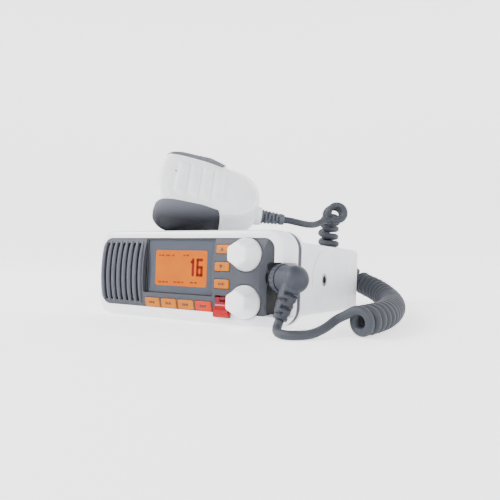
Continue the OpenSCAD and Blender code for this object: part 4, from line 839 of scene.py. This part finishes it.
def ribs(x, y):
    """Four broad ribs with narrow valleys: 1 - |s|^3 across each, s from -1 to 1, run out towards their ends."""
    rise = sum(1 - np.abs(np.clip((x - c) / 4.2, -1, 1)) ** 3 for c in 19.6 + 8.8 * np.arange(4))
    ends = np.clip((17.5 - np.abs(y + 0.5)) / 5, 0, 1)
    return 1.5 * rise * ends * ends * (3 - 2 * ends)


def case_point(u, t):
    """The case at u round its outline (0 to 1) and t down it: -1 the face's middle, 0 the face's edge, 5 the back's
    edge, 6 its middle. Between the edges a smooth curve runs through the rings; each ring is the outline moved in."""
    at = np.arange(len(plan) + 1) / len(plan)
    wrap = lambda v: np.stack([np.interp(u % 1, at, np.append(v[:, n], v[0, n])) for n in range(2)], -1)
    edge, inward = wrap(plan), wrap(plan_in)
    rings = []
    for g, k in zip(ring_in, range(6)):
        xy = edge + g * inward
        rings.append(np.concatenate([xy, case_levels(xy[..., 0])[k][..., None]], -1))
    rings = np.stack(rings)
    first = rings[0] + (rings[0] - rings[1]) * np.array([1.4, 1.4, 0.15])
    last = rings[-1] + (rings[-1] - rings[-2]) * np.array([1.4, 1.4, 0.15])
    rings = np.concatenate([first[None], rings, last[None]])
    s = np.clip(t, 0, 5)
    i = np.minimum(np.floor(s).astype(int), 4)
    f = (s - i)[..., None]
    pick = lambda n: np.take_along_axis(rings, np.broadcast_to((i + n)[None, ..., None], (1, *s.shape, 3)), 0)[0]
    a, b, c, e = pick(0), pick(1), pick(2), pick(3)
    p = 0.5 * (2 * b + (c - a) * f + (2 * a - 5 * b + 4 * c - e) * f**2 + (3 * b - a - 3 * c + e) * f**3)
    to_middle = np.where(t < 0, -t, np.where(t > 5, t - 5, 0))[..., None]
    xy = p[..., :2] * (1 - to_middle) + middle * to_middle
    face, back = face_rise - xy[..., 0] * face_fall, -back_rise - xy[..., 0] * back_fall
    bulge = np.clip(to_middle[..., 0] * 1.2, 0, 1) * 0.35
    z = np.where(t < 0, face + bulge, np.where(t > 5, back - 0 * bulge, p[..., 2]))
    z = z + np.where(t < 0.7, ribs(xy[..., 0], xy[..., 1]) * np.clip((0.7 - t) * 2, 0, 1), 0)
    return np.concatenate([xy, z[..., None]], -1)


def case_normal(u, t):
    """Direction out of the case: the cross product of its two small steps."""
    step = 1e-3
    p = case_point(u + step, t) - case_point(u - step, t)
    q = case_point(u, t + step) - case_point(u, t - step)
    return unit(np.cross(p, q))


columns = np.arange(512) / 512
probe = np.linspace(0, 5, 501)
probe_u, probe_t = np.meshgrid(columns, probe, indexing="ij")
probe_point = case_point(probe_u, probe_t)


def level_at(value):
    """For each column, the t at which a quantity on the probe grid first passes nought."""
    passed = np.argmax(value >= 0, axis=1)
    k = np.maximum(passed, 1)
    n = np.arange(len(columns))
    a, b = value[n, k - 1], value[n, k]
    return np.where(value.max(1) < 0, 5.0, probe[k - 1] + (probe[k] - probe[k - 1]) * np.clip(-a / np.where(b - a == 0, 1, b - a), 0, 1))


parting_t = level_at(-probe_point[..., 2])
grip_ends = (4.0, 49.5)
grip_lean = np.tan(np.radians(16))


def grip_depth(p, side, grow=0.0):
    """How far inside a grip's zone a point is, in millimetres: the least of its distances to the zone's four edges."""
    x, y, z = np.moveaxis(p, -1, 0)
    start = (24 if side < 0 else 21) + ((20 if side < 0 else 21) - (24 if side < 0 else 21)) * (x - 4) / 95
    return np.minimum.reduce([side * y - start, x - grip_ends[0], grip_ends[1] - grip_lean * (z - 8.5) * 1.0 - x, z + 12]) + grow


def shell(name, t_of, rows):
    """One shell: the case between two t's per column, sunk by half a millimetre where a grip lies in it."""
    k = np.linspace(0, 1, rows)[:, None]
    t = t_of(k)
    u = np.broadcast_to(columns[None], t.shape)
    p = case_point(u, t)
    inside = np.maximum(grip_depth(p, -1, 0.18), grip_depth(p, 1, 0.18))
    sunk = 0.9 * np.clip(inside / 0.2, 0, 1)
    edge = 0.12 * np.clip(1 - np.abs(t - parting_t[None]) / 0.03, 0, 1)
    p = p - (sunk + edge)[..., None] * case_normal(u, t)
    return made(name, *closed_skin(in_hand(p)))


mic_white = moulded("mic_white", rgb(230, 231, 235), 0.38, grain=0.0006, depth=0.00001)
front = shell("mic_face", lambda k: np.where(k < 0.3, -0.97 + k / 0.3 * 0.965 + 0 * parting_t, (k - 0.3) / 0.7 * parting_t), 120)
settle(front, mic_white, "microphone", "mic_white", "mic_front_shell")
back = shell("mic_back", lambda k: np.where(k < 0.75, parting_t + k / 0.75 * (5 - parting_t), 5 + (k - 0.75) / 0.25 * 0.97 + 0 * parting_t), 90)

neck_at = np.array([66.0, 0, -13.8])
neck_axis, neck_side = np.array([1.0, 0, 0]), np.array([0, 1.0, 0])
neck = lathe(filled(rounded_profile([(-4, 7.5), (14.2, 6.9), (15.5, 6.5), (15.5, 5.4)], 0.8), 0.6), neck_at, neck_axis, neck_side)
mic_neck = made("mic_neck", *closed_skin(in_hand(neck)))
settle(mic_neck, mic_white, "microphone", "mic_white")
settle(back, mic_white, "microphone", "mic_white", "mic_back_shell")

# ---- The grips and the talk key ----
# Soft grey rubber pressed into the case's sides, the lower grip painted darker towards the bottom as painted shade,
# with a long black key to talk.


def inlay(name, u, top, bottom, rise, soft, grain_rows=36, lean=None):
    """A patch of the case: u along it, t from top to bottom, lifted by rise and rounded down at its edges."""
    edge = np.array([(0, -1.3), (0, -0.6), (0.03, -0.28), (0.1, -0.1), (0.25, -0.02), (0.5, 0)])
    edge[:, 0] *= soft
    edge[1:, 1] *= soft
    fall = lambda count, length: (np.concatenate([edge[:, 0] / length, np.linspace(edge[-1, 0] / length, 1 - edge[-1, 0] / length, count)[1:-1], 1 - edge[::-1, 0] / length]),
                                  np.concatenate([edge[:, 1], np.zeros(count - 2), edge[::-1, 1]]))
    p, p_low = fall(90, 46)
    q, q_low = fall(grain_rows, 18)
    uu = u[0] + (u[1] - u[0]) * p[:, None] + (0 if lean is None else lean * q[None] * p[:, None])
    uu = np.broadcast_to(uu, (len(p), len(q)))
    t0 = np.interp(uu % 1, columns, top, period=1)
    t1 = np.interp(uu % 1, columns, bottom, period=1)
    tt = t0 + (t1 - t0) * q[None]
    low = np.minimum(p_low[:, None], q_low[None])
    skin = case_point(uu, tt) + (rise + low)[..., None] * case_normal(uu, tt)
    base = case_point(uu, tt) - 1.6 * case_normal(uu, tt)
    both = in_hand(np.concatenate([skin, base]))
    rows, cols = skin.shape[:2]
    grid = sheet_faces(rows, cols, round_columns=False)
    rim = np.concatenate([np.arange(cols), np.arange(1, rows) * cols + cols - 1, (rows - 1) * cols + np.arange(cols - 1)[::-1], np.arange(rows - 1)[:0:-1] * cols])
    nxt = np.roll(rim, -1)
    walls = np.stack([rim, rim + rows * cols, nxt + rows * cols, nxt], 1)
    return made(name, both, [*grid.tolist(), *(grid[:, ::-1] + rows * cols).tolist(), *walls.tolist()])


def u_where(x, side):
    """Place round the outline at which it has this x, on one long side."""
    half = np.where(side * plan[:, 1] > 5)[0]
    order = half[np.argsort(plan[half, 0])]
    return float(np.interp(x, plan[order, 0], columns[order]))


start_of = lambda x, side: (24 if side < 0 else 21) + ((20 if side < 0 else 21) - (24 if side < 0 else 21)) * (x - 4) / 95
upper_top = level_at(probe_point[..., 1] - start_of(probe_point[..., 0], 1))
lower_top = level_at(-probe_point[..., 1] - start_of(probe_point[..., 0], -1))
grip_foot = level_at(-12 - probe_point[..., 2])
grip_light = moulded("grip_light", rgb(92, 94, 100), 0.6, grain=0.0004, depth=0.00004, Specular_IOR_Level=0.2)
upper = inlay("mic_upper_inlay", (u_where(4.6, 1), u_where(49.5, 1)), upper_top, grip_foot, 0.0, 1.0)
settle(upper, grip_light, "microphone", "grip_light", "mic_upper_grip")
grip_dark = finish("grip_dark", rgb(70, 72, 80), 0.6, Specular_IOR_Level=0.2)
grip_place = place_of(grip_dark)
# Painted shade: the lower grip's grey darkens to near black towards the bottom of the microphone.
painted_shade_below = grip_place.node("ShaderNodeSeparateXYZ", {}, {0: grip_place}, out=2).between(0.083, 0.066)
drive(grip_dark, base=painted_shade_below.tint(rgb(92, 94, 103), rgb(36, 37, 42)), height=(speckle(grip_place, 0.0004), 0.00004))
lower = inlay("mic_lower_inlay", (u_where(4.6, -1), u_where(49.5, -1)), lower_top, grip_foot, 0.0, 1.0)
settle(lower, grip_dark, "microphone", "grip_dark", "mic_lower_grip")
talk_top, talk_foot = level_at(4.5 - probe_point[..., 2]), level_at(-6.5 - probe_point[..., 2])
talk = inlay("talk_key_pad", (u_where(10, -1), u_where(46, -1)), talk_top, talk_foot, 1.15, 2.2)
settle(talk, moulded("talk_black", rgb(38, 39, 44), 0.5, grain=0.0004, depth=0.00004, Specular_IOR_Level=0.25), "talk_key", "ptt_black", "ptt_key")

# ---- The cord's sleeve at the microphone ----
# A ribbed rubber sleeve, slotted so that it bends, moulded on the cord and held in the case's neck.
sleeve_at = neck_at + neck_axis * 9.6
hand_sleeve = lathe(filled(rounded_profile([(0, 5.4), (6, 5.5), (22.8, 4.1), (24, 3.8), (24, 2.6)], 0.6), 0.2),
                    sleeve_at, neck_axis, neck_side, 144, slots(7.6, 2.75, 5, 1.35, 2.2, 0.35))
hand_boot = made("hand_sleeve", *closed_skin(in_hand(hand_sleeve)))
settle(hand_boot, moulded("sleeve_grey", rgb(78, 82, 90), 0.55, grain=0.0004, depth=0.00003, Specular_IOR_Level=0.25), "microphone", "plug_grey", "mic_relief")

# ---- The back of the microphone ----
# A turned steel stud for the hanger, and two screws that hold the shells together.
dress("hanger_stud", metal("stud_steel", rgb(178, 180, 184), 0.28))
dress("mic_screws", metal("shell_screw_steel", rgb(168, 170, 174), 0.32))
pin_hole = lathe([(-1.0, 0.72), (0.02, 0.78), (0.05, 0.5), (-0.9, 0.45)], np.array([14.8, 4.0, face_rise - 14.8 * face_fall + 0.36]),
                 np.array([np.sin(np.radians(8)), 0, np.cos(np.radians(8))]), neck_side, 24)
hole = made("mic_pinhole", *closed_skin(in_hand(pin_hole)))
settle(hole, works_black, "microphone", "black_plastic")
